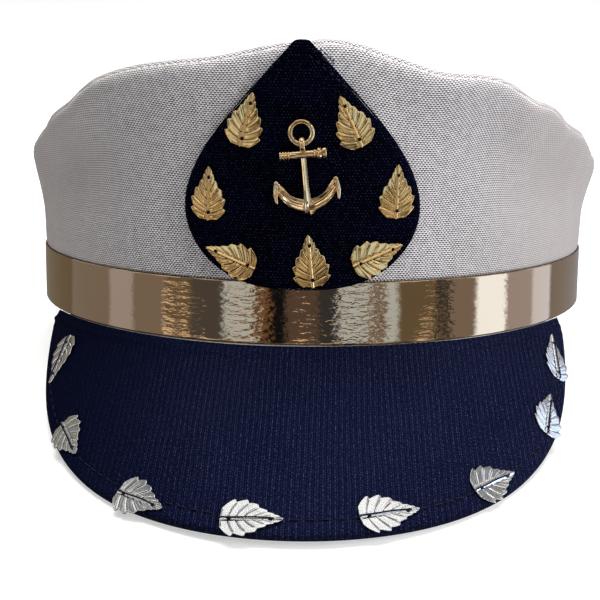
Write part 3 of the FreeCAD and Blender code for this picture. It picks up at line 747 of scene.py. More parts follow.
def crown_wall_panel(name, start, end, material):
    t = panel_columns(start, end, 0.8)
    smooth_grid = resample(crown_profile(t)[:, :SEAM_ROW + 1], edge_rows(52))
    run, along = lengths_along(smooth_grid, 0), lengths_along(smooth_grid, 1)
    to_side = np.minimum(run, run[-1:] - run)
    to_rim = along[:, -1:] - along
    tuck = 0.3 * np.exp(-along / 0.7)
    dip = np.maximum(seam_dip(to_side), seam_dip(to_rim)) + tuck
    out = grid_normals(smooth_grid, unit(smooth_grid * [1, 1, 0] + [0, 0, 1e-3]))
    grid = sagged(smooth_grid)
    outer = grid - out * dip[..., None]
    inner = grid - out * np.maximum(WALL_CLOTH, dip[..., None] + 0.3)
    middle = len(t) // 2
    flat = stack(run - run[middle], along)
    piece = cloth(name, "crown_fabric", outer, inner, flat, material)
    declare(smooth_grid)


def crown_top_panel(material):
    t = np.radians(np.linspace(-180, 180, 361))
    rows = 1 - edge_rows(58)[::-1]
    smooth_grid = resample(crown_profile(t)[:, SEAM_ROW:], np.sort(rows))
    along = lengths_along(smooth_grid, 1)
    out = grid_normals(smooth_grid, np.array([0, 0, 1.0]))
    out[:, -1] = [0, 0, 1]
    out[0] = out[-1] = unit(out[0] + out[-1])
    grid = sagged(smooth_grid)
    grid[..., 2] += 0.5 * noise(grid[..., 0] / 34 + 9, grid[..., 1] / 34 + 9, 12) * smooth(along, 2, 22)
    dip = seam_dip(along)
    outer = grid - out * dip[..., None]
    inner = grid - out * np.maximum(TOP_CLOTH, dip[..., None] + 0.3)
    piece = cloth("crown_top_panel", "crown_fabric", outer, inner, smooth_grid[..., :2], material, ring=True)
    declare(smooth_grid, (2 * RIM_WIDTH, 2 * RIM_LENGTH))


def crown_seam_tape(material):
    """Folded tape that covers the rim seam inside."""
    degrees = np.linspace(-180, 180, 241)[:, None]
    t = np.radians(degrees)
    drop = np.linspace(*RIM_TAPE_DROP, 9)
    grid = wall_point(t, 1 - drop / wall_height(t), RIM_TAPE_DEPTH)
    grid = sagged(grid)
    ripple = 0.08 * np.sin(degrees * 0.9)
    inwards = unit(grid * [1, 1, 0])
    outer = grid - inwards * (ripple + 0.06)[..., None]
    inner = outer - inwards * 0.4
    piece = cloth("crown_seam_tape", "lining_fabric", outer, inner, flat_pattern(grid), material, ring=True)
    declare(grid)


def front_stay(material):
    """Stiff sheet behind the front panel, bent along with it."""
    t = np.radians(np.linspace(-STAY_HALF_ANGLE, STAY_HALF_ANGLE, 101))[:, None]
    grid = wall_point(t, np.linspace(0, 1, 50) * (1 - STAY_DROP / wall_height(t)), STAY_DEPTH)
    grid = sagged(grid)
    inner = grid - unit(grid * [1, 1, 0]) * STAY_THICKNESS
    cloth("front_stay", "stiffener_plastic", grid, inner, grid[..., ::2], material)


def crown_lining(material):
    """Side and top lining, gathered a little where they meet under the rim."""
    degrees = np.linspace(-180, 180, 361)[:, None]
    t = np.radians(degrees)
    up = np.linspace(0, 1, 26)
    base = wall_point(t, up * (1 - LINING_DROP / wall_height(t)), LINING_DEPTH)
    base = sagged(base)
    inwards = unit(base * [1, 1, 0])
    gathers = np.sin(np.radians(degrees * LINING_GATHERS))
    folds = (0.35 + 0.35 * gathers * up ** 2
             + 0.3 * noise((degrees + 180) / 4, up * 3, 21, 90)) * smooth(up, 0, 0.25)
    outer = base - inwards * np.maximum(folds, 0)[..., None]
    inner = outer - inwards * 0.45
    side = cloth("crown_lining_side", "lining_fabric", outer, inner, flat_pattern(base), material, ring=True)
    declare(base)
    reach = np.linspace(1, 0, 44)[None, :]
    grid = top_point(t, reach * 0.975, -1.0)
    grid = sagged(grid)
    edge = smooth(1 - reach, 0, 0.12)
    pleat = 0.5 * gathers * smooth(reach, 0.55, 1.0) * edge
    sag = -0.8 * edge + 0.5 * noise(grid[..., 0] / 22 + 5, grid[..., 1] / 22 + 5, 31)
    lower = grid.copy()
    lower[..., 2] += np.minimum(sag + pleat, -0.05)
    upper = lower + [0, 0, 0.45]
    top = cloth("crown_lining_top", "lining_fabric", lower, upper, grid[..., :2], material, ring=True)
    declare(grid, LINING_TOP)


# ---------------------------------------------------------------- band

def band_point(t, depth, height):
    return stack((BAND_WIDTH - depth) * np.sin(t), -(BAND_LENGTH - depth) * np.cos(t), height)


def band_profile(outside, inside, low, high, rows, rounding):
    """Outer and inner depths and heights of a strip with rounded edges."""
    heights = np.concatenate([
        low + rounding * (1 - np.cos(np.linspace(0, math.pi / 2, 5)[:-1])),
        np.linspace(low + rounding, high - rounding, rows),
        high - rounding * (1 - np.cos(np.linspace(math.pi / 2, 0, 5)[1:])),
    ])
    edge = np.minimum(heights - low, high - heights)
    bend = rounding - np.sqrt(np.maximum(rounding ** 2 - np.maximum(rounding - edge, 0) ** 2, 0))
    return heights, outside + bend, np.full_like(heights, inside)


def gold_ribbon(material):
    """Foil strip with fine wrinkles that run round the band, and its overlap at the back."""
    degrees = np.linspace(-180, 180, 1081)[:, None]
    t = np.radians(degrees)
    heights, outer_depth, inner_depth = band_profile(0.0, RIBBON_THICKNESS, 0.12, RIBBON_HEIGHT, 66, 0.35)
    smooth_grid = band_point(t, 0.0, heights)
    zones = (0.05 + bump(degrees, -9, 3.5) + 0.35 * bump(degrees, 1, 4) + 0.9 * bump(degrees, 10.5, 4)
             + 0.5 * bump(degrees, 26, 4) + 0.3 * bump(degrees, -21, 4) + 0.22 * bump(degrees, 38, 3)
             + 0.12 * bump(degrees, -34, 3))
    back = smooth(np.abs(degrees), 60, 90)
    zones = zones + back * (0.3 + 0.3 * noise(np.abs(degrees) / 14, 0, 3))
    turned = degrees + 180
    wrinkle = (0.034 * noise(turned / 2.4, heights / 1.1, 41, 150)
               + 0.010 * noise(turned / 1.2, heights / 0.6, 42, 300)) * zones
    wave = 0.035 * noise(turned / 12, heights / 9, 43, 30)
    inside_edge = smooth(np.minimum(heights - 0.12, RIBBON_HEIGHT - heights), 0, 1.2)
    lap = RIBBON_THICKNESS * (smooth(degrees, 175.0, 175.4) + smooth(-degrees, 172.0, 178.0))
    depth = outer_depth - (wrinkle + wave) * inside_edge - lap
    outer = band_point(t, depth, heights)
    inner = band_point(t, inner_depth, heights)
    flat = stack(lengths_along(smooth_grid, 0), heights)
    creased = zones * np.ones_like(depth)
    piece = cloth("gold_ribbon", "gold_foil", outer, inner, flat, material, ring=True, relief=creased)
    declare(smooth_grid)


def band_cover(material):
    t = np.radians(np.linspace(-180, 180, 361))[:, None]
    heights, outer_depth, inner_depth = band_profile(RIBBON_THICKNESS + 0.02, 0.88, 0.15, 16.95, 14, 0.2)
    outer = band_point(t, outer_depth, heights)
    inner = band_point(t, inner_depth, heights)
    flat = stack(lengths_along(outer, 0), heights)
    piece = cloth("band_cover", "navy_rib_fabric", outer, inner, flat, material, ring=True)
    declare(outer)


def sweatband(material, thread):
    """Leathercloth strip, folded at the lower edge and stitched near both edges."""
    degrees = np.linspace(-180, 180, 481)[:, None]
    t = np.radians(degrees)
    heights, bend = band_profile(0.0, 0.0, 0.5, SWEATBAND_HEIGHT, 46, 0.45)[:2]
    swell = 0.25 * noise((degrees + 180) / 6, heights / 8, 51, 60)
    low_row, high_row = 3.4, SWEATBAND_HEIGHT - 2.6
    rows = bump(heights, low_row, 0.5) + bump(heights, high_row, 0.5)
    fold = 0.35 * smooth(heights, 5.2, 4.6)
    outer = band_point(t, SWEATBAND_DEPTH + bend, heights)
    inner_depth = SWEATBAND_DEPTH + 1.0 - bend + fold + swell * smooth(heights, 6, 12) - 0.25 * rows
    inner = band_point(t, inner_depth, heights)
    flat = stack(lengths_along(outer, 0), heights)
    piece = cloth("sweatband", "sweatband_leathercloth", outer, inner, flat, material, ring=True)
    declare(outer)
    parts = []
    pitch = 2.0
    for row, depth in ((low_row, 4.15), (high_row, 3.85)):
        for degree in np.arange(0, 360, pitch):
            span = np.radians(degree + np.linspace(0, pitch * 0.7, 7))
            arch = half_wave(7)
            path = band_point(span, depth - 0.25 + 0.42 * arch, row)
            parts.append(tube(path, 0.24 * np.sqrt(np.maximum(arch, 0.12)), 6))
    joined_piece("sweatband_stitches", parts, thread)


# ---------------------------------------------------------------- visor

def visor_parts(share):
    """Root, heading, slope and length of the rulings at an array of shares."""
    share = np.asarray(share, float)
    azimuth = math.radians(VISOR_HALF_ANGLE) * share
    root = stack(BAND_WIDTH * np.sin(azimuth), -BAND_LENGTH * np.cos(azimuth), 0 * share)
    fan = VISOR_FAN * azimuth
    heading = stack(np.sin(fan), -np.cos(fan), 0 * share)
    slope = np.radians(SLOPE_FRONT + (SLOPE_SIDE - SLOPE_FRONT) * share ** 2)
    length = VISOR_LENGTH * (1 - share ** 2) ** VISOR_TAPER
    return root, heading, slope, length


def visor_point(share, along, depth=0.0):
    """Point a length along a ruling and a depth below the visor's top face."""
    share, along, depth = np.broadcast_arrays(*[np.asarray(a, float) for a in (share, along, depth)])
    root, heading, slope = visor_parts(share)[:3]
    out = along * np.cos(slope) - depth * np.sin(slope)
    down = along * np.sin(slope) + depth * np.cos(slope)
    return root + heading * out[..., None] - down[..., None] * [0, 0, 1]


def visor_edge(share):
    return visor_parts(share)[3]


def visor_shares(count):
    """Shares from one end of the visor to the other, crowded towards the ends."""
    quarter = math.asin(VISOR_END)
    return np.sin(np.linspace(-quarter, quarter, count))[:, None]


def wale_coordinate(points, along):
    """Across the fabric: the wales start square to the band and fan out a little."""
    return points[..., 0] / (1 + 0.0016 * along)


WALE_PITCH = 1.42


def visor_top_cover(material):
    """Ribbed cover, puffed over the board and turned round its edge."""
    share = visor_shares(541)
    length = visor_edge(share)
    thick = TOP_COVER + BOARD + UNDER_COVER + LIP_DROP
    radius = np.minimum(1.2, length * 0.2)
    face_rows = 66
    top_rows = np.linspace(0, 1, face_rows) ** 0.9
    along = top_rows * (length - radius)
    depth = np.zeros_like(along)
    corner = np.linspace(0, math.pi / 2, 6)[1:]
    along = np.concatenate([along, length - radius + radius * np.sin(corner)], 1)
    depth = np.concatenate([depth, radius * (1 - np.cos(corner))], 1)
    low = np.linspace(0, math.pi / 2, 5)[1:]
    under, hem = 0.7, 2.6
    along = np.concatenate([along, length - under * (1 - np.cos(low)), length - hem + 0 * length], 1)
    depth = np.concatenate([depth, thick - under + under * np.sin(low) + 0 * length, thick + 0 * length], 1)
    along = np.maximum(along, 0)
    outer = visor_point(share, along, depth)
    up = grid_normals(outer[:, :face_rows], np.array([0, -0.4, 1.0]))
    flat_u = wale_coordinate(outer, along)
    rib = 0.03 * np.sin(2 * math.pi * flat_u[:, :face_rows] / WALE_PITCH)
    seam = 0.55 * bump(along[:, :face_rows], 2.9, 0.8) - 0.35 * np.exp(-along[:, :face_rows] / 0.8)
    seam = seam * (0.35 + 0.65 * smooth(-share, -0.35, 0.25))
    groove = -0.22 * bump(length - along[:, :face_rows], TOPSTITCH_INSET, 0.7) * smooth(length, 8, 16)
    soft = 0.12 * noise(flat_u[:, :face_rows] / 16 + 40, along[:, :face_rows] / 16, 61)
    outer[:, :face_rows] += up * (rib + seam + groove + soft)[..., None]
    inner_along = np.minimum(along, length - 0.8)
    inner_depth = np.clip(depth + TOP_COVER, TOP_COVER, thick - 0.02)
    inner = visor_point(share, np.maximum(inner_along, 0), inner_depth)
    flat = stack(flat_u, lengths_along(outer, 1))
    piece = cloth("visor_top_cover", "navy_rib_fabric", outer, inner, flat, material)
    declare(visor_point(share, along, depth))


def visor_under_cover(material):
    share = visor_shares(161)
    length = visor_edge(share) - 0.9
    along = np.linspace(0, 1, 34) * length
    top = TOP_COVER + BOARD
    inner = visor_point(share, along, top + 0.02)
    outer = visor_point(share, along, top + UNDER_COVER)
    down = grid_normals(outer, np.array([0, 0.4, -1.0]))
    puff = 0.06 * noise(outer[..., 0] / 9 + 30, along / 9, 71)
    outer = outer + down * puff[..., None]
    flat = stack(outer[..., 0], along)
    piece = cloth("visor_under_cover", "visor_under_fabric", outer, inner, flat, material)
    declare(visor_point(share, along, top))


def visor_seam_tape(material):
    """Folded tape over the seam between the visor and the band."""
    reach = VISOR_HALF_ANGLE * VISOR_END - 1.5
    t = np.radians(np.linspace(-reach, reach, 181))[:, None]
    turn = np.linspace(0, 1, 12)
    depth = 0.3 + 3.2 * turn
    height = -0.15 - 1.9 * np.sin(turn * math.pi) ** 0.6
    ripple = 0.08 * noise(np.degrees(t) + 90, turn * 3, 81)
    outer = band_point(t, depth, height + ripple)
    inner = band_point(t, depth, np.minimum(height + 0.5, -0.05))
    piece = cloth("visor_seam_tape", "lining_fabric", outer, inner, flat_pattern(outer), material)
    declare(outer)


def visor_normal(share, along):
    """Upward unit normals of the visor's top face."""
    step = 1e-3
    side = visor_point(share + step, along) - visor_point(share - step, along)
    fall = visor_point(share, along + step) - visor_point(share, along - step)
    normal = unit(np.cross(fall, side))
    return normal * np.sign(normal[..., 2:])


def visor_topstitch(thread):
    """Row of stitches parallel to the visor's edge, hidden under the leaves."""
    share = np.linspace(-0.90, 0.90, 1600)
    along = visor_edge(share) - TOPSTITCH_INSET
    path, lift = visor_point(share, along), visor_normal(share, along)
    run = lengths_along(path[:, None], 0)[:, 0]
    pitch, gap = 3.6, 0.8
    middles = [f[0] for f in visor_leaf_frames()]
    parts = []
    for start in np.arange(0, run[-1] - pitch, pitch):
        spots = start + np.linspace(0, pitch - gap, 9)
        line = np.stack([np.interp(spots, run, path[:, k]) for k in range(3)], -1)
        normal = np.stack([np.interp(spots, run, lift[:, k]) for k in range(3)], -1)
        near = min(np.linalg.norm(line[4] - m) for m in middles)
        if near < 0.5 * SILVER_LEAF[0]:
            continue
        arch = half_wave(9)
        parts.append(tube(line + normal * (0.32 * arch - 0.22)[:, None],
                          0.2 * np.sqrt(np.maximum(arch, 0.15)), 7, 0.6))
    joined_piece("visor_topstitch", parts, thread, "visor_topstitch")


# ---------------------------------------------------------------- badge

def badge_point(across, height, out):
    """Point of the badge at a distance across, a height and an offset from its back face."""
    across, height, out = np.broadcast_arrays(*[np.asarray(a, float) for a in (across, height, out)])
    rise = (height - BADGE_FOOT) / (BADGE_TIP - BADGE_FOOT)
    half_width = BAND_WIDTH + (RIM_WIDTH - BAND_WIDTH) * rise + BADGE_STANDOFF + out
    half_length = BAND_LENGTH + (RIM_LENGTH - BAND_LENGTH) * rise + BADGE_STANDOFF + out
    azimuth = np.arcsin(across / half_width)
    return stack(across, -half_length * np.cos(azimuth), height)


def natural_spline(points, count):
    """Smooth open curve through points, with chord length as its parameter."""
    points = np.asarray(points, float)
    knots = np.concatenate([[0], np.cumsum(np.linalg.norm(np.diff(points, axis=0), axis=1))])
    n = len(points)
    gap = np.diff(knots)
    system, right = np.eye(n), np.zeros((n, points.shape[1]))
    for i in range(1, n - 1):
        system[i, i - 1:i + 2] = gap[i - 1], 2 * (gap[i - 1] + gap[i]), gap[i]
        right[i] = 6 * ((points[i + 1] - points[i]) / gap[i] - (points[i] - points[i - 1]) / gap[i - 1])
    second = np.linalg.solve(system, right)
    spots = np.linspace(0, knots[-1], count)
    cell = np.clip(np.searchsorted(knots, spots, side="right") - 1, 0, n - 2)
    h = gap[cell][:, None]
    a = (knots[cell + 1] - spots)[:, None] / h
    b = 1 - a
    return (a * points[cell] + b * points[cell + 1]
            + ((a ** 3 - a) * second[cell] + (b ** 3 - b) * second[cell + 1]) * h ** 2 / 6)


BADGE_MIDDLE = np.array([0.0, 40.0])


def badge_outline():
    """Closed drop outline from the tip down the right side and up the left one."""
    left = [(-x, z) for x, z in reversed(BADGE_OUTLINE)]
    tip = (0, BADGE_TIP + 2.2)
    line = natural_spline([tip, *BADGE_OUTLINE, (0, BADGE_FOOT), *left, tip], 241)
    near_tip = (np.abs(line[:, 0]) < 4) & (line[:, 1] > 60)
    blunt = BADGE_TIP + 0.3 - 0.06 * line[:, 0] ** 2
    line[:, 1] = np.where(near_tip, np.minimum(line[:, 1], blunt), line[:, 1])
    return line


def badge_cover(material):
    """Cloth drawn over the badge's board: flat in the middle, rolled at the hem."""
    outline = badge_outline()
    shares = np.concatenate([np.linspace(0, 0.9, 30), [0.925, 0.945, 0.96, 0.972, 0.982, 0.99, 0.996, 1.0]])
    flat = BADGE_MIDDLE + (outline - BADGE_MIDDLE)[:, None] * shares[None, :, None]
    x, z = flat[..., 0], flat[..., 1]
    to_edge = np.linalg.norm(outline - BADGE_MIDDLE, axis=1)[:, None] * (1 - shares)
    roll = np.sqrt(np.maximum(1 - np.maximum(1 - to_edge / 1.5, 0) ** 2, 0))
    out = BADGE_FACE * roll
    out = out + 0.10 * bump(to_edge, 2.2, 0.8) - 0.10 * bump(to_edge, 3.6, 0.6)
    out = out + 0.05 * noise(x / 9 + 20, z / 9 + 20, 91) * smooth(to_edge, 2, 6)
    outer = badge_point(x, z, out)
    inner = badge_point(x, z, np.minimum(np.maximum(out - 0.45, 0.0), BADGE_FACE - 0.5))
    piece = cloth("badge_cover", "badge_fabric", outer, inner, flat, material, ring=True)


GLITTER = ((6.9, 69.9), (-7.5, 68.0), (-19.9, 31.0), (24.6, 30.4), (-19.0, 50.5), (18.4, 66.4), (-9, 66))


def badge_trim(thread, gold):
    """Hem stitches near the tip, three curled thread ends, and a few specks of glitter."""
    parts = []
    start, end = np.array([1.5, 76.0]), np.array([13.5, 66.0])
    count = 7
    for k in range(count):
        a = start + (end - start) * (k + 0.15) / count
        b = start + (end - start) * (k + 0.75) / count
        spots = a + (b - a) * np.linspace(0, 1, 7)[:, None]
        arch = half_wave(7)
        parts.append(tube(badge_point(spots[:, 0], spots[:, 1], BADGE_FACE + 0.2 * arch - 0.08), 0.14, 6))
    curl = np.linspace(0, 1, 60)
    for x, z, size, turns in ((5.2, 75.6, 1.1, 1.3), (6.6, 74.6, 0.8, 1.7), (3.8, 77.2, 0.7, 1.1)):
        angle = 2 * math.pi * turns * curl + x
        across = x + size * np.cos(angle) * (1 - 0.5 * curl) + 1.6 * curl
        height = z + 0.7 * size * np.sin(angle) - 0.8 * curl
        parts.append(tube(badge_point(across, height, 1.7 + 0.5 * np.sin(angle * 0.7)), 0.10, 6))
    joined_piece("badge_hem_threads", parts, thread)
    random = np.random.RandomState(7)
    specks = []
    for x, z in GLITTER:
        centre = badge_point(x, z, BADGE_FACE + 0.1)
        corners = centre + random.uniform(-0.22, 0.22, (4, 3))
        specks.append((corners, [[0, 1, 2], [0, 2, 3], [0, 3, 1], [1, 3, 2]]))
    joined_piece("badge_glitter", specks, gold)


# ---------------------------------------------------------------- leaves

def leaf_half_width(share, width):
    share = np.clip(share, 0, 1)
    drawn_in = 1 - 0.34 * smooth(share, 0.45, 0.85)
    return 0.5 * width * np.sin(math.pi * share ** 0.62) ** 0.6 * (1 - 0.25 * share ** 2) * drawn_in


TEETH = 8
TOOTH_ROWS = (0.0, 0.09, 0.30, 0.55, 0.72, 0.81, 0.90, 0.95)
VEIN = ((0, 0.09, 0.30, 0.72, 0.90, 0.95, 1.0), (-0.18, 0.0, 0.03, 0.05, 0.10, 0.06, -0.18))
LEAF_COLUMNS = (0.0, 0.025, 0.05, 0.08, 0.115, 0.16, 0.22, 0.32, 0.44, 0.56, 0.68, 0.79, 0.89, 0.96, 1.0)


def leaf_grid(size, fold):
    """Top and bottom grids of a stamped leaf: base at the origin, tip along Y, out along Z."""
    length, width = size
    tooth = np.array([p for _ in range(TEETH) for p in TOOTH_ROWS] + [0.0])
    count = np.array([k for k in range(TEETH) for _ in TOOTH_ROWS] + [TEETH])
    s = (count + tooth) / TEETH
    s = 0.01 + 0.985 * s
    a = np.array([-c for c in reversed(LEAF_COLUMNS[1:])] + list(LEAF_COLUMNS))
    margin = s + 0.25 * np.sin(math.pi * s) ** 0.8
    notch = np.interp(tooth, (0, 0.81, 0.90, 1.0), (0.84, 1.03, 1.0, 0.84))
    half = leaf_half_width(margin, width) * notch
    half[-1] = 0.03
    x = a[None, :] * half[:, None]
    y = length * (s[:, None] + (margin - s)[:, None] * np.abs(a) ** 1.5)
    y = np.minimum(y, length - 0.02 * np.abs(a))
    away = np.abs(x)
    vein = np.interp(tooth, *VEIN)
    body = smooth(away, 0.2, 0.6) * smooth(half[:, None] - away, -0.05, 0.6)
    rib = 0.32 * np.exp(-(away / 0.30) ** 3) * smooth(1 - s, 0.0, 0.12)[:, None]
    gutter = -0.09 * np.exp(-((away - 0.55) / 0.15) ** 2)
    relief = vein[:, None] * body + rib + gutter * smooth(half[:, None], 0.8, 1.6)
    top = stack(x, y, 0.42 + relief + fold * away)
    bottom = stack(x, y, 0.06 + 0.6 * relief.clip(0, 1) + fold * away)
    return top, bottom


def leaf_model(name, size, fold):
    """Leaf with its two holes cut, as points, faces and relief."""
    top, bottom = leaf_grid(size, fold)
    columns, rows = top.shape[:2]
    points = np.concatenate([top.reshape(-1, 3), bottom.reshape(-1, 3)])
    faces = grid_faces(columns, rows) + [f[::-1] for f in grid_faces(columns, rows, columns * rows)]
    leaf = add_mesh(name, points, faces + hem_faces(columns, rows), None, in_row=True)
    drills = []
    for place in LEAF_HOLES:
        line = stack(0.12, place * size[0], np.linspace(-1, 2, 2))
        drills.append(tube(line, LEAF_HOLE_RADIUS * 0.95, 14))
    drill_points, drill_faces = joined(drills)
    drill = add_mesh(name + "_drill", drill_points, drill_faces, None, in_row=True)
    cut = leaf.modifiers.new("holes", "BOOLEAN")
    cut.operation = "DIFFERENCE"
    cut.solver = "EXACT"
    cut.object = drill
    shape = leaf.evaluated_get(bpy.context.evaluated_depsgraph_get()).to_mesh()
    places = np.array([v.co[:] for v in shape.vertices])
    corners = [list(f.vertices) for f in shape.polygons]
    for used in (leaf, drill):
        bpy.data.objects.remove(used)
    relief = places[:, 2] - fold * np.abs(places[:, 0])
    return places, corners, relief


def leaf_frame(base, tip, middle, normal):
    up = unit(tip - base)
    out = unit(normal - up * (normal @ up))
    return middle, np.cross(up, out), up, out


def put(points, spot, length, lift=LEAF_LIFT):
    """Lays leaf points on a spot: the leaf's middle and its directions."""
    middle, across, up, out = spot
    local = np.asarray(points, float) - [0, length / 2, -lift]
    return middle + local[:, :1] * across + local[:, 1:2] * up + local[:, 2:] * out


def badge_leaf_frames():
    def face(x, z):
        return badge_point(x, z, BADGE_FACE)

    frames = []
    step = 0.5
    for base_x, base_z, tip_x, tip_z in BADGE_LEAVES:
        x, z = (base_x + tip_x) / 2, (base_z + tip_z) / 2
        normal = np.cross(face(x + step, z) - face(x - step, z), face(x, z + step) - face(x, z - step))
        frames.append(leaf_frame(face(base_x, base_z), face(tip_x, tip_z), face(x, z), normal))
    return frames


def visor_leaf_frames():
    def surface(share, part):
        return visor_point(share, part * visor_edge(share))

    frames = []
    for base_u, base_v, tip_u, tip_v in VISOR_LEAVES:
        u, v = (base_u + tip_u) / 2, (base_v + tip_v) / 2
        normal = visor_normal(np.array(u), v * visor_edge(u))
        frames.append(leaf_frame(surface(base_u, base_v), surface(tip_u, tip_v), surface(u, v), normal))
    return frames


def bent(points, size, random, curl):
    """Small differences between leaves: lengthwise bow, twist and a lifted edge."""
    out = points.copy()
    s = points[:, 1] / size[0] - 0.5
    side = points[:, 0] / (size[1] / 2)
    bow, twist = random.uniform(0.1, 0.5), random.uniform(-0.35, 0.35)
    out[:, 2] += bow * (0.25 - s ** 2) * 2 + twist * s * side * 0.6 + np.abs(twist * s) * 0.3
    out[:, 2] += curl * np.maximum(side, 0) ** 2
    out[:, 2] -= points[:, 2].min()
    return out


def leaf_set(family, frames, size, fold, material, slot, random, curled=None):
    """Stamped leaves on their frames, each a piece that stands for its CAD node."""
    points, faces, relief = leaf_model(slot, size, fold)
    for number, spot in enumerate(frames, 1):
        places = bent(points, size, random, 0.9 if number == curled else 0.0)
        name = f"{family}_leaf_{number}"
        leaf = add_mesh(name, put(places, spot, size[0], 0.02), faces, material, relief=relief)
        attach(leaf, name)


def leaves(gold, silver):
    random = np.random.RandomState(11)
    leaf_set("badge", badge_leaf_frames(), GOLD_LEAF, -0.035, gold, "gold_leaf_metal", random, curled=6)
    leaf_set("visor", visor_leaf_frames(), SILVER_LEAF, 0.045, silver, "silver_leaf_metal", random)


def leaf_knots(spot, length, aside, height, wire):
    """Thread knots over a leaf's two holes."""
    angle = turns(44)
    knot = 0.2 * stack(np.sin(angle) + 2 * np.sin(2 * angle), np.cos(angle) - 2 * np.cos(2 * angle),
                       -1.3 * np.sin(3 * angle))
    parts = []
    for share in LEAF_HOLES:
        points, faces = tube(knot * 0.5 + [aside, share * length, height], wire, 6, closed=True)
        parts.append((put(points, spot, length), faces))
    return parts


def leaf_threads(thread):
    """Knots in the gold leaves, threads along the silver ones, one loose thread between two leaves."""
    parts = []
    for spot in badge_leaf_frames():
        parts += leaf_knots(spot, GOLD_LEAF[0], 0.12, 0.22, 0.15)
    joined_piece("badge_leaf_knots", parts, thread, "badge_leaf_knots")
    parts = []
    length = SILVER_LEAF[0]
    for spot in visor_leaf_frames():
        s = np.linspace(-0.03, 0.90, 64)
        drop = 1.4 * (1 - smooth(s, -0.03, 0.05)) + 1.2 * smooth(s, 0.83, 0.90)
        path = stack(0.10 + 0.10 * np.sin(s * 9), s * length, 1.02 - drop)
        points, faces = tube(path, 0.20, 8, 0.8)
        parts.append((put(points, spot, length), faces))
        parts += leaf_knots(spot, length, 0.25, 0.66, 0.14)
    share = np.linspace(0.885, 0.80, 40)
    part = np.linspace(0.70, 0.66, 40)
    along = part * visor_edge(share)
    hang = 0.12 + 0.35 * half_wave(40)
    loose = visor_point(share, along) + visor_normal(share, along) * hang[:, None]
    parts.append(tube(loose, 0.10, 6, 0.5))
    joined_piece("visor_leaf_threads", parts, thread, "visor_leaf_threads")


# ---------------------------------------------------------------- anchor

def anchor_axes():
    """Origin and directions of the anchor's plane, which touches the badge's face."""
    origin = badge_point(ANCHOR_ACROSS, ANCHOR_HEIGHT, BADGE_FACE)
    up = unit(badge_point(ANCHOR_ACROSS, ANCHOR_HEIGHT + 5, BADGE_FACE) - origin)
    across = np.array([1.0, 0, 0])
    out = np.cross(across, up)
    lean = math.radians(ANCHOR_LEAN)
    turned = across * math.cos(lean) + up * math.sin(lean)
    risen = up * math.cos(lean) - across * math.sin(lean)
    return origin + out * 0.08, turned, risen, out


def put_anchor(points):
    origin, across, up, out = anchor_axes()
    points = np.asarray(points, float)
    return origin + points[:, :1] * across + points[:, 1:2] * up + points[:, 2:] * out


STOCK_SWELL = 1.38            # the collars and beads stand this much prouder than the pairs say
STOCK_OUT = 1.65
STOCK_PROFILE = (
    (-6.15, 0.35), (-6.1, 0.75), (-5.95, 0.92), (-5.65, 0.95), (-5.48, 0.72), (-5.34, 0.74),
    (-5.2, 0.96), (-4.9, 0.98), (-4.74, 0.74), (-4.6, 0.76), (-4.46, 0.92), (-4.2, 0.94),
    (-4.06, 0.72), (-3.94, 0.76), (-3.8, 0.95), (-3.6, 0.92), (-3.46, 0.74), (-3.2, 0.76),
    (0.0, 0.80), (2.7, 0.76), (2.86, 0.95), (3.1, 0.98), (3.24, 0.78), (3.38, 0.82), (3.55, 1.08),
    (3.9, 1.22), (4.3, 1.22), (4.62, 1.05), (4.76, 0.78), (4.9, 0.82), (5.02, 1.12), (5.75, 1.14),
    (5.95, 0.98), (6.05, 0.5),
)


def anchor_stock():
    """Bar turned about an axis across the anchor, from (x, radius) pairs."""
    sides = 28
    angle = turns(sides)
    x, radius = np.array(STOCK_PROFILE).T[..., None]
    radius = radius * STOCK_SWELL
    rings = stack(x, radius * np.cos(angle), STOCK_OUT + radius * np.sin(angle))
    return rings.reshape(-1, 3), loop_faces(len(rings), sides)


def anchor_shank():
    """Eight-sided bar that widens downwards."""
    section = np.array([
        (-1, 0), (-1, 0.62), (-0.8, 0.9), (-0.4, 1.0), (0.3, 0.97), (0.75, 0.84), (1, 0.5), (1, 0),
    ])
    levels = ((0.6, 0.80, 1.9), (-4, 0.80, 1.9), (-9, 0.88, 2.0), (-12.0, 1.1, 2.2), (-14.0, 1.4, 2.3))
    rings = [stack(section[:, 0] * half, y, section[:, 1] * deep) for y, half, deep in levels]
    return np.concatenate(rings), loop_faces(len(levels), len(section))


def anchor_arms():
    """Crescent with a rim along its outside, a scoop inside it and a point under the shank."""
    angle = np.radians(np.linspace(-168, -12, 79))
    outer = stack(8.2 * np.cos(angle), -6.8 + 8.2 * np.sin(angle), 0.15)
    outer[:, 1] -= 0.8 * bump(np.degrees(angle), -86, 8)
    inner = stack(7.0 * np.cos(angle), -4.7 + 6.9 * np.sin(angle), 0.15)
    ends = smooth(np.abs(np.degrees(angle) + 90), 78, 50)[:, None]
    inner = outer + (inner - outer) * (0.35 + 0.65 * ends)
    rings = [outer]
    for part, height in (
            (0.0, 0.8), (0.05, 1.3), (0.12, 1.55), (0.20, 1.5), (0.28, 1.2), (0.4, 0.92),
            (0.55, 0.8), (0.7, 0.82), (0.84, 0.95), (0.94, 0.98), (1.0, 0.7)):
        ring = outer + (inner - outer) * part
        ring[:, 2] = height * (0.65 + 0.35 * ends[:, 0])
        rings.append(ring)
    rings = np.stack([*rings, inner], 1)
    return rings.reshape(-1, 3), loop_faces(*rings.shape[:2])


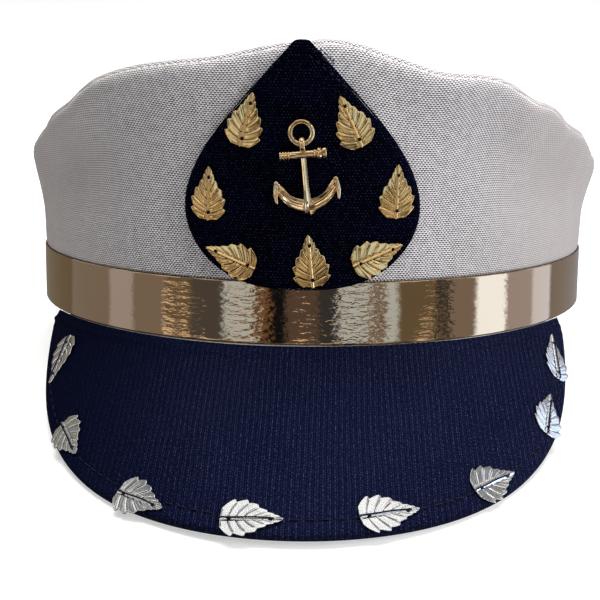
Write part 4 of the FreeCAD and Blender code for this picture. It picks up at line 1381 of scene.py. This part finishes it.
def anchor_fluke(side):
    """Rounded point with two tapered legs that spread from it like an arrowhead's."""
    share = np.linspace(0, 1, 18)
    point = np.array([side * 7.6, -6.8, 1.25])
    parts = []
    for foot, bow, thick in (((7.9, -12.5, 1.0), 0.3, 0.68), ((4.7, -10.4, 1.0), 0.05, 0.56)):
        path = point + (np.array([side * foot[0], foot[1], foot[2]]) - point) * share[:, None]
        path[:, 0] += side * bow * np.sin(math.pi * share)
        taper = np.interp(share, (0, 0.15, 0.55, 0.9, 1.0), (0.75, 0.95, 1.0, 0.62, 0.2))
        parts.append(tube(path, thick * taper, 16))
    along = np.linspace(-0.98, 0.98, 14)
    cap = point + stack(0 * along, 0.6 * along, 0 * along)
    parts.append(tube(cap, 0.68 * np.sqrt(1 - along ** 2), 16))
    return joined(parts)


def anchor_boss():
    """Faceted pyramid where the shank meets the arms."""
    ring = np.array([(0.5, -15.9), (1.6, -14.9), (1.5, -12.6), (0, -11.4), (-1.4, -12.8), (-0.9, -15.1)])
    points = np.concatenate([stack(ring[:, 0], ring[:, 1], 0.2), stack(ring[:, 0], ring[:, 1], 1.5),
                             [[0.2, -13.4, 2.7]]])
    faces = [[5, 4, 3, 2, 1, 0]]
    for k in range(6):
        n = (k + 1) % 6
        faces.append([k, n, 6 + n, 6 + k])
        faces.append([6 + k, 6 + n, 12])
    return points, faces


def anchor_eye():
    """Lug with the hole that the ring turns in, and its neck on the stock."""
    around = turns(40)
    section = turns(16)
    middle, thick = (EYE_RADIUS + EYE_HOLE) / 2, (EYE_RADIUS - EYE_HOLE) / 2
    radial = np.sign(np.cos(section)) * np.abs(np.cos(section)) ** 0.8 * thick
    axial = np.sign(np.sin(section)) * np.abs(np.sin(section)) ** 0.8 * EYE_WIDTH / 2
    reach = middle + radial[None, :]
    rings = stack(axial[None, :], EYE_UP + reach * np.cos(around)[:, None],
                  EYE_OUT + reach * np.sin(around)[:, None])
    lug = rings.reshape(-1, 3), loop_faces(*rings.shape[:2], closed=True)
    neck = tube(stack(0, np.linspace(0.2, 1.5, 6), np.linspace(1.3, 1.9, 6)), np.linspace(0.95, 0.62, 6), 14)
    return joined([lug, neck])


def anchor_prong(y, way):
    """Prong through the badge, bent over the washer plate."""
    turn = np.linspace(0, math.pi / 2, 9)
    drop = stack(0, y, np.linspace(0.2, -5.9, 12))
    bend = stack(0, y + way * 0.7 * (1 - np.cos(turn)), -5.9 - 0.7 * np.sin(turn))
    flat_end = stack(0, y + way * np.linspace(0.9, 2.6, 5), -6.6)
    path = np.concatenate([drop, bend[1:], flat_end])
    return tube(path, np.linspace(0.58, 0.5, len(path)), 12)


def anchor_casting(material):
    points, faces = joined([
        anchor_stock(), anchor_shank(), anchor_arms(), anchor_fluke(-1), anchor_fluke(1),
        anchor_boss(), anchor_eye(), anchor_prong(-3.5, 1), anchor_prong(-9.0, -1),
    ])
    piece = add_mesh("anchor_casting", put_anchor(points), faces, material)
    edges = piece.modifiers.new("edges", "BEVEL")
    edges.width = 0.10 * MM
    edges.segments = 2
    edges.limit_method = "ANGLE"
    edges.angle_limit = math.radians(32)
    edges.harden_normals = True
    attach(piece, "anchor_casting")


def anchor_ring(material):
    """Wire ring that leans back from the eye, with a groove along the wire; it is on its own body."""
    around = turns(96)[:, None]
    section = turns(28)
    size = RING_WIRE * (1 - 0.11 * bump(section, math.pi / 2, 0.22))
    reach = RING_RADIUS + size * np.cos(section)
    rings = stack(reach * np.sin(around), reach * np.cos(around), size * np.sin(section))
    points = rings.reshape(-1, 3) + [0, RING_RADIUS, 0]
    lean = math.asin((EYE_OUT - RING_WIRE - RING_CLEARANCE) / (2 * RING_RADIUS))
    y, z = points[:, 1].copy(), points[:, 2].copy()
    points[:, 1] = EYE_UP + y * math.cos(lean) + z * math.sin(lean)
    points[:, 2] = EYE_OUT - y * math.sin(lean) + z * math.cos(lean)
    ring = add_mesh("anchor_ring_wire", put_anchor(points), loop_faces(96, 28, closed=True), material)
    attach(ring, "anchor_ring", RING)


# ---------------------------------------------------------------- hidden CAD nodes

def dress_hidden_nodes(plastic, felt, plate):
    """Flat pieces inside the cap keep their CAD shape and get their real material."""
    wanted = {
        "headband_stiffener": plastic,
        "visor_board": plastic,
        "badge_board": plastic,
        "badge_backing": felt,
        "anchor_washer_plate": plate,
    }
    for name, material in wanted.items():
        node = frame["nodes"][name]
        node.data.materials.clear()
        node.data.materials.append(material)


# ---------------------------------------------------------------- studio

# Cards of plain colour that stand round the cap and show in its foil.
BLACK, CHARCOAL, OLIVE, BROWN = (15, 15, 15), (50, 45, 40), (70, 60, 50), (95, 75, 50)
RUST, MAROON, TAUPE = (105, 70, 40), (80, 60, 45), (115, 95, 75)
BUFF, BLUSH, SILVER, CREAM = (150, 130, 115), (195, 180, 165), (170, 165, 150), (245, 235, 220)

# Where each card's reflection ends, from -1 at the ribbon's left edge to 1 at its right, and its
# colour. The places are given one by one.
REFLECTED = (
    (-0.90, BROWN), (-0.76, TAUPE), (-0.67, BUFF), (-0.55, TAUPE), (-0.45, BROWN), (-0.33, OLIVE),
    (-0.19, SILVER), (-0.13, RUST), (-0.08, BLACK), (0.05, MAROON), (0.12, CHARCOAL), (0.27, SILVER),
    (0.32, TAUPE), (0.36, SILVER), (0.50, BROWN), (0.55, CHARCOAL), (0.65, TAUPE), (0.76, CREAM),
    (0.85, BUFF), (0.91, BLUSH), (1, TAUPE),
)


def tone(*shade):
    return np.array(rgb(*shade)[:3])


def screen(piece):
    """Keeps a studio screen out of everything but reflections."""
    piece.visible_camera = False
    piece.visible_diffuse = False
    piece.visible_shadow = False
    piece.visible_transmission = False


CARD_SPREAD = 1.8             # how much faster a reflection's bearing turns than the ribbon does


def room_tone(bearing):
    """Colour of the screen at a bearing in degrees, blended over a degree or two at each edge."""
    blend = 1.4
    tones, start = np.zeros((len(bearing), 3)), -180
    for share, shade in REFLECTED:
        end = 180 if share == 1 else CARD_SPREAD * math.degrees(math.asin(share))
        low = smooth(bearing, start - blend, start + blend) if start > -180 else np.ones(len(bearing))
        high = smooth(bearing, end - blend, end + blend) if end < 180 else np.zeros(len(bearing))
        tones += (low - high)[:, None] * tone(*shade) / np.array(FOIL_COLOUR[:3])
        start = end
    return tones


def room_walls():
    """Graded screen all round the cap: a foot, the cards, a plain upper wall and a shaded top."""
    bearing = np.linspace(-180, 180, 721)
    levels = np.array((-1.6, -0.08, -0.07, 0.34, 0.36, 0.72, 0.78, 1.6))
    patch_shares = np.array((1, 1, 0, 0, 1, 1, 0.4, 0.4))
    front = (np.abs(bearing) < 62)[:, None]
    cards = room_tone(bearing)
    foot = np.where(front, tone(190, 182, 172), cards)
    above = np.ones_like(cards) * tone(232, 228, 222)
    shaded = np.ones_like(cards) * tone(132, 134, 140)
    patchy = np.ones_like(bearing)[:, None] * patch_shares
    patchy[:, :2] *= front
    tones = np.stack([foot, foot, cards, cards, above, above, shaded, shaded], 1)
    around = np.radians(bearing)[:, None]
    points = stack(np.sin(around), -np.cos(around), levels).reshape(-1, 3)
    n = Nodes("room_walls")
    seen = n.stored("glow", "Color")
    share = n.stored("relief")
    cloud = n.noise(n.place(), 5.0, 2.0)
    patches = n.plus(n.ramp(cloud, 0.54, 0.60, -0.48, 1.5), n.ramp(cloud, 0.40, 0.46, -0.45, 0.0))
    n.glow(seen, n.plus(n.times(patches, share), 1.0))
    walls = add_mesh("room_walls", points, grid_faces(len(bearing), len(levels)), n.material,
                     relief=patchy.ravel(), in_row=True)
    glow = walls.data.attributes.new("glow", "FLOAT_COLOR", "POINT")
    rgba = np.concatenate([tones.reshape(-1, 3), np.ones((len(points), 1))], 1)
    glow.data.foreach_set("color", rgba.astype(np.float32).ravel())
    screen(walls)


def square(name, side, height, material):
    corners = [(-side, -side, height), (side, -side, height), (side, side, height), (-side, side, height)]
    return add_mesh(name, corners, [[0, 1, 2, 3]], material, in_row=True)


def room_ceiling():
    """Patchy light above the cap that only shiny surfaces see."""
    n = Nodes("room_ceiling")
    patches = n.noise(n.place(), 22.0, 2.0)
    n.glow(n.mix(patches, rgb(244, 246, 250), rgb(255, 255, 255)), n.ramp(patches, 0.53, 0.60, 0.72, 2.4))
    screen(square("room_ceiling", 1.6, 1.6, n.material))


def floor():
    n = Nodes("pale_floor")
    grain = n.noise(n.place(), 60.0, 3.0)
    n.colour(n.mix(grain, rgb(206, 206, 207), rgb(212, 212, 212)))
    n.set(Roughness=0.9, Emission_Color=(1, 1, 1, 1))
    seen = n.node("ShaderNodeLightPath").outputs["Is Camera Ray"]
    n.feed(n.shader.inputs["Emission Strength"], n.times(seen, 0.5))
    ground = square("floor", 4.0, 0, n.material)
    ground.visible_glossy = False


def link(name, data, axes, place):
    """Object with given axes and place."""
    made = bpy.data.objects.new(name, data)
    bpy.context.scene.collection.objects.link(made)
    rows = np.stack([*axes, place], 1)
    made.matrix_world = Matrix([*rows.tolist(), [0, 0, 0, 1]])
    return made


def area_light(name, place, target, size, power, colour):
    data = bpy.data.lights.new(name, "AREA")
    data.shape = "RECTANGLE"
    data.size, data.size_y = size
    data.energy = power
    data.color = colour
    back = unit(np.array(place, float) - np.array(target, float))
    right = unit(np.cross([0, 0, 1.0], back)) if abs(back[2]) < 0.99 else np.array([1.0, 0, 0])
    return link(name, data, (right, np.cross(back, right), back), place)


def world():
    """Dim, slightly warm light from all round, with a white background for the camera only."""
    made = bpy.data.worlds.new("studio")
    bpy.context.scene.world = made
    made.use_nodes = True
    tree = made.node_tree
    ambient = tree.nodes["Background"]
    ambient.inputs["Color"].default_value = (1.0, 0.97, 0.93, 1)
    ambient.inputs["Strength"].default_value = 0.118
    plain = tree.nodes.new("ShaderNodeBackground")
    plain.inputs["Strength"].default_value = 1.0
    path = tree.nodes.new("ShaderNodeLightPath")
    mix = tree.nodes.new("ShaderNodeMixShader")
    tree.links.new(path.outputs["Is Camera Ray"], mix.inputs[0])
    tree.links.new(ambient.outputs[0], mix.inputs[1])
    tree.links.new(plain.outputs[0], mix.inputs[2])
    tree.links.new(mix.outputs[0], tree.nodes["World Output"].inputs["Surface"])


def camera():
    side, pitch = math.radians(CAMERA_SIDE), math.radians(CAMERA_PITCH)
    yaw, roll = math.radians(CAMERA_YAW), math.radians(CAMERA_ROLL)
    place = [CAMERA_DISTANCE * math.sin(side), -CAMERA_DISTANCE * math.cos(side), CAMERA_HEIGHT]
    ahead = np.array([math.sin(yaw) * math.cos(pitch), math.cos(yaw) * math.cos(pitch), -math.sin(pitch)])
    level = np.array([math.cos(yaw), -math.sin(yaw), 0])
    over = np.cross(level, ahead)
    right = level * math.cos(roll) + over * math.sin(roll)
    up = over * math.cos(roll) - level * math.sin(roll)
    data = bpy.data.cameras.new("camera")
    data.sensor_width = 36.0
    data.lens = CAMERA_LENS
    data.clip_start = 0.01
    axes = [TO_ROW @ axis for axis in (right, up, -ahead)]
    bpy.context.scene.camera = link("camera", data, axes, to_row(place))


def studio():
    camera()
    world()
    floor()
    room_walls()
    room_ceiling()
    area_light("key", (0.95, -0.60, 0.60), (0, 0, 0.05), (0.7, 0.7), 10.8, (1.0, 0.98, 1.0))
    overhead = area_light("top", (0.05, 0.05, 1.2), (0, 0, 0), (1.0, 0.8), 26.0, (1.0, 0.975, 0.955))
    overhead.visible_glossy = False
    area_light("fill", (-0.9, -0.7, 0.5), (0, 0, 0.04), (0.8, 0.8), 0.4, (1.0, 0.92, 0.84))
    bpy.context.scene.view_settings.view_transform = "Standard"


# ---------------------------------------------------------------- build

def build():
    weave = crown_material()
    lining = lining_material()
    thread = thread_material()
    plastic = plastic_material()
    crown_wall_panel("crown_front_panel", -SIDE_SEAM, SIDE_SEAM, weave)
    crown_wall_panel("crown_back_right_panel", SIDE_SEAM, 180, weave)
    crown_wall_panel("crown_back_left_panel", 180, 360 - SIDE_SEAM, weave)
    crown_top_panel(weave)
    crown_seam_tape(lining)
    front_stay(plastic)
    crown_lining(lining)
    gold_ribbon(foil_material())
    ribbed = wale_fabric("navy_rib", rgb(0, 3, 23), rgb(11, 15, 38), WALE_PITCH, 0.55)
    band_cover(ribbed)
    sweatband(leathercloth_material(), thread)
    visor_top_cover(ribbed)
    visor_under_cover(wale_fabric("visor_under_cloth", rgb(12, 14, 34), rgb(22, 26, 58), 0.7, 0.35))
    visor_seam_tape(lining)
    visor_topstitch(thread)
    badge_cover(badge_material())
    gold = metal_material("gold_leaf_metal", rgb(226, 188, 126), rgb(52, 38, 22), 0.27, 0.42, 0.14)
    silver = metal_material("silver_leaf_metal", rgb(232, 231, 228), rgb(78, 78, 80), 0.25, 0.42, 0.18)
    badge_trim(thread, gold)
    leaves(gold, silver)
    leaf_threads(thread)
    zinc = plating_material("zinc_plate", rgb(190, 190, 188), rgb(140, 140, 142), 0.35)
    plating = plating_material("anchor_gold", rgb(246, 218, 170), rgb(208, 170, 120), 0.05)
    anchor_casting(plating)
    anchor_ring(plating)
    dress_hidden_nodes(plastic, felt_material(), zinc)


studio()
build()
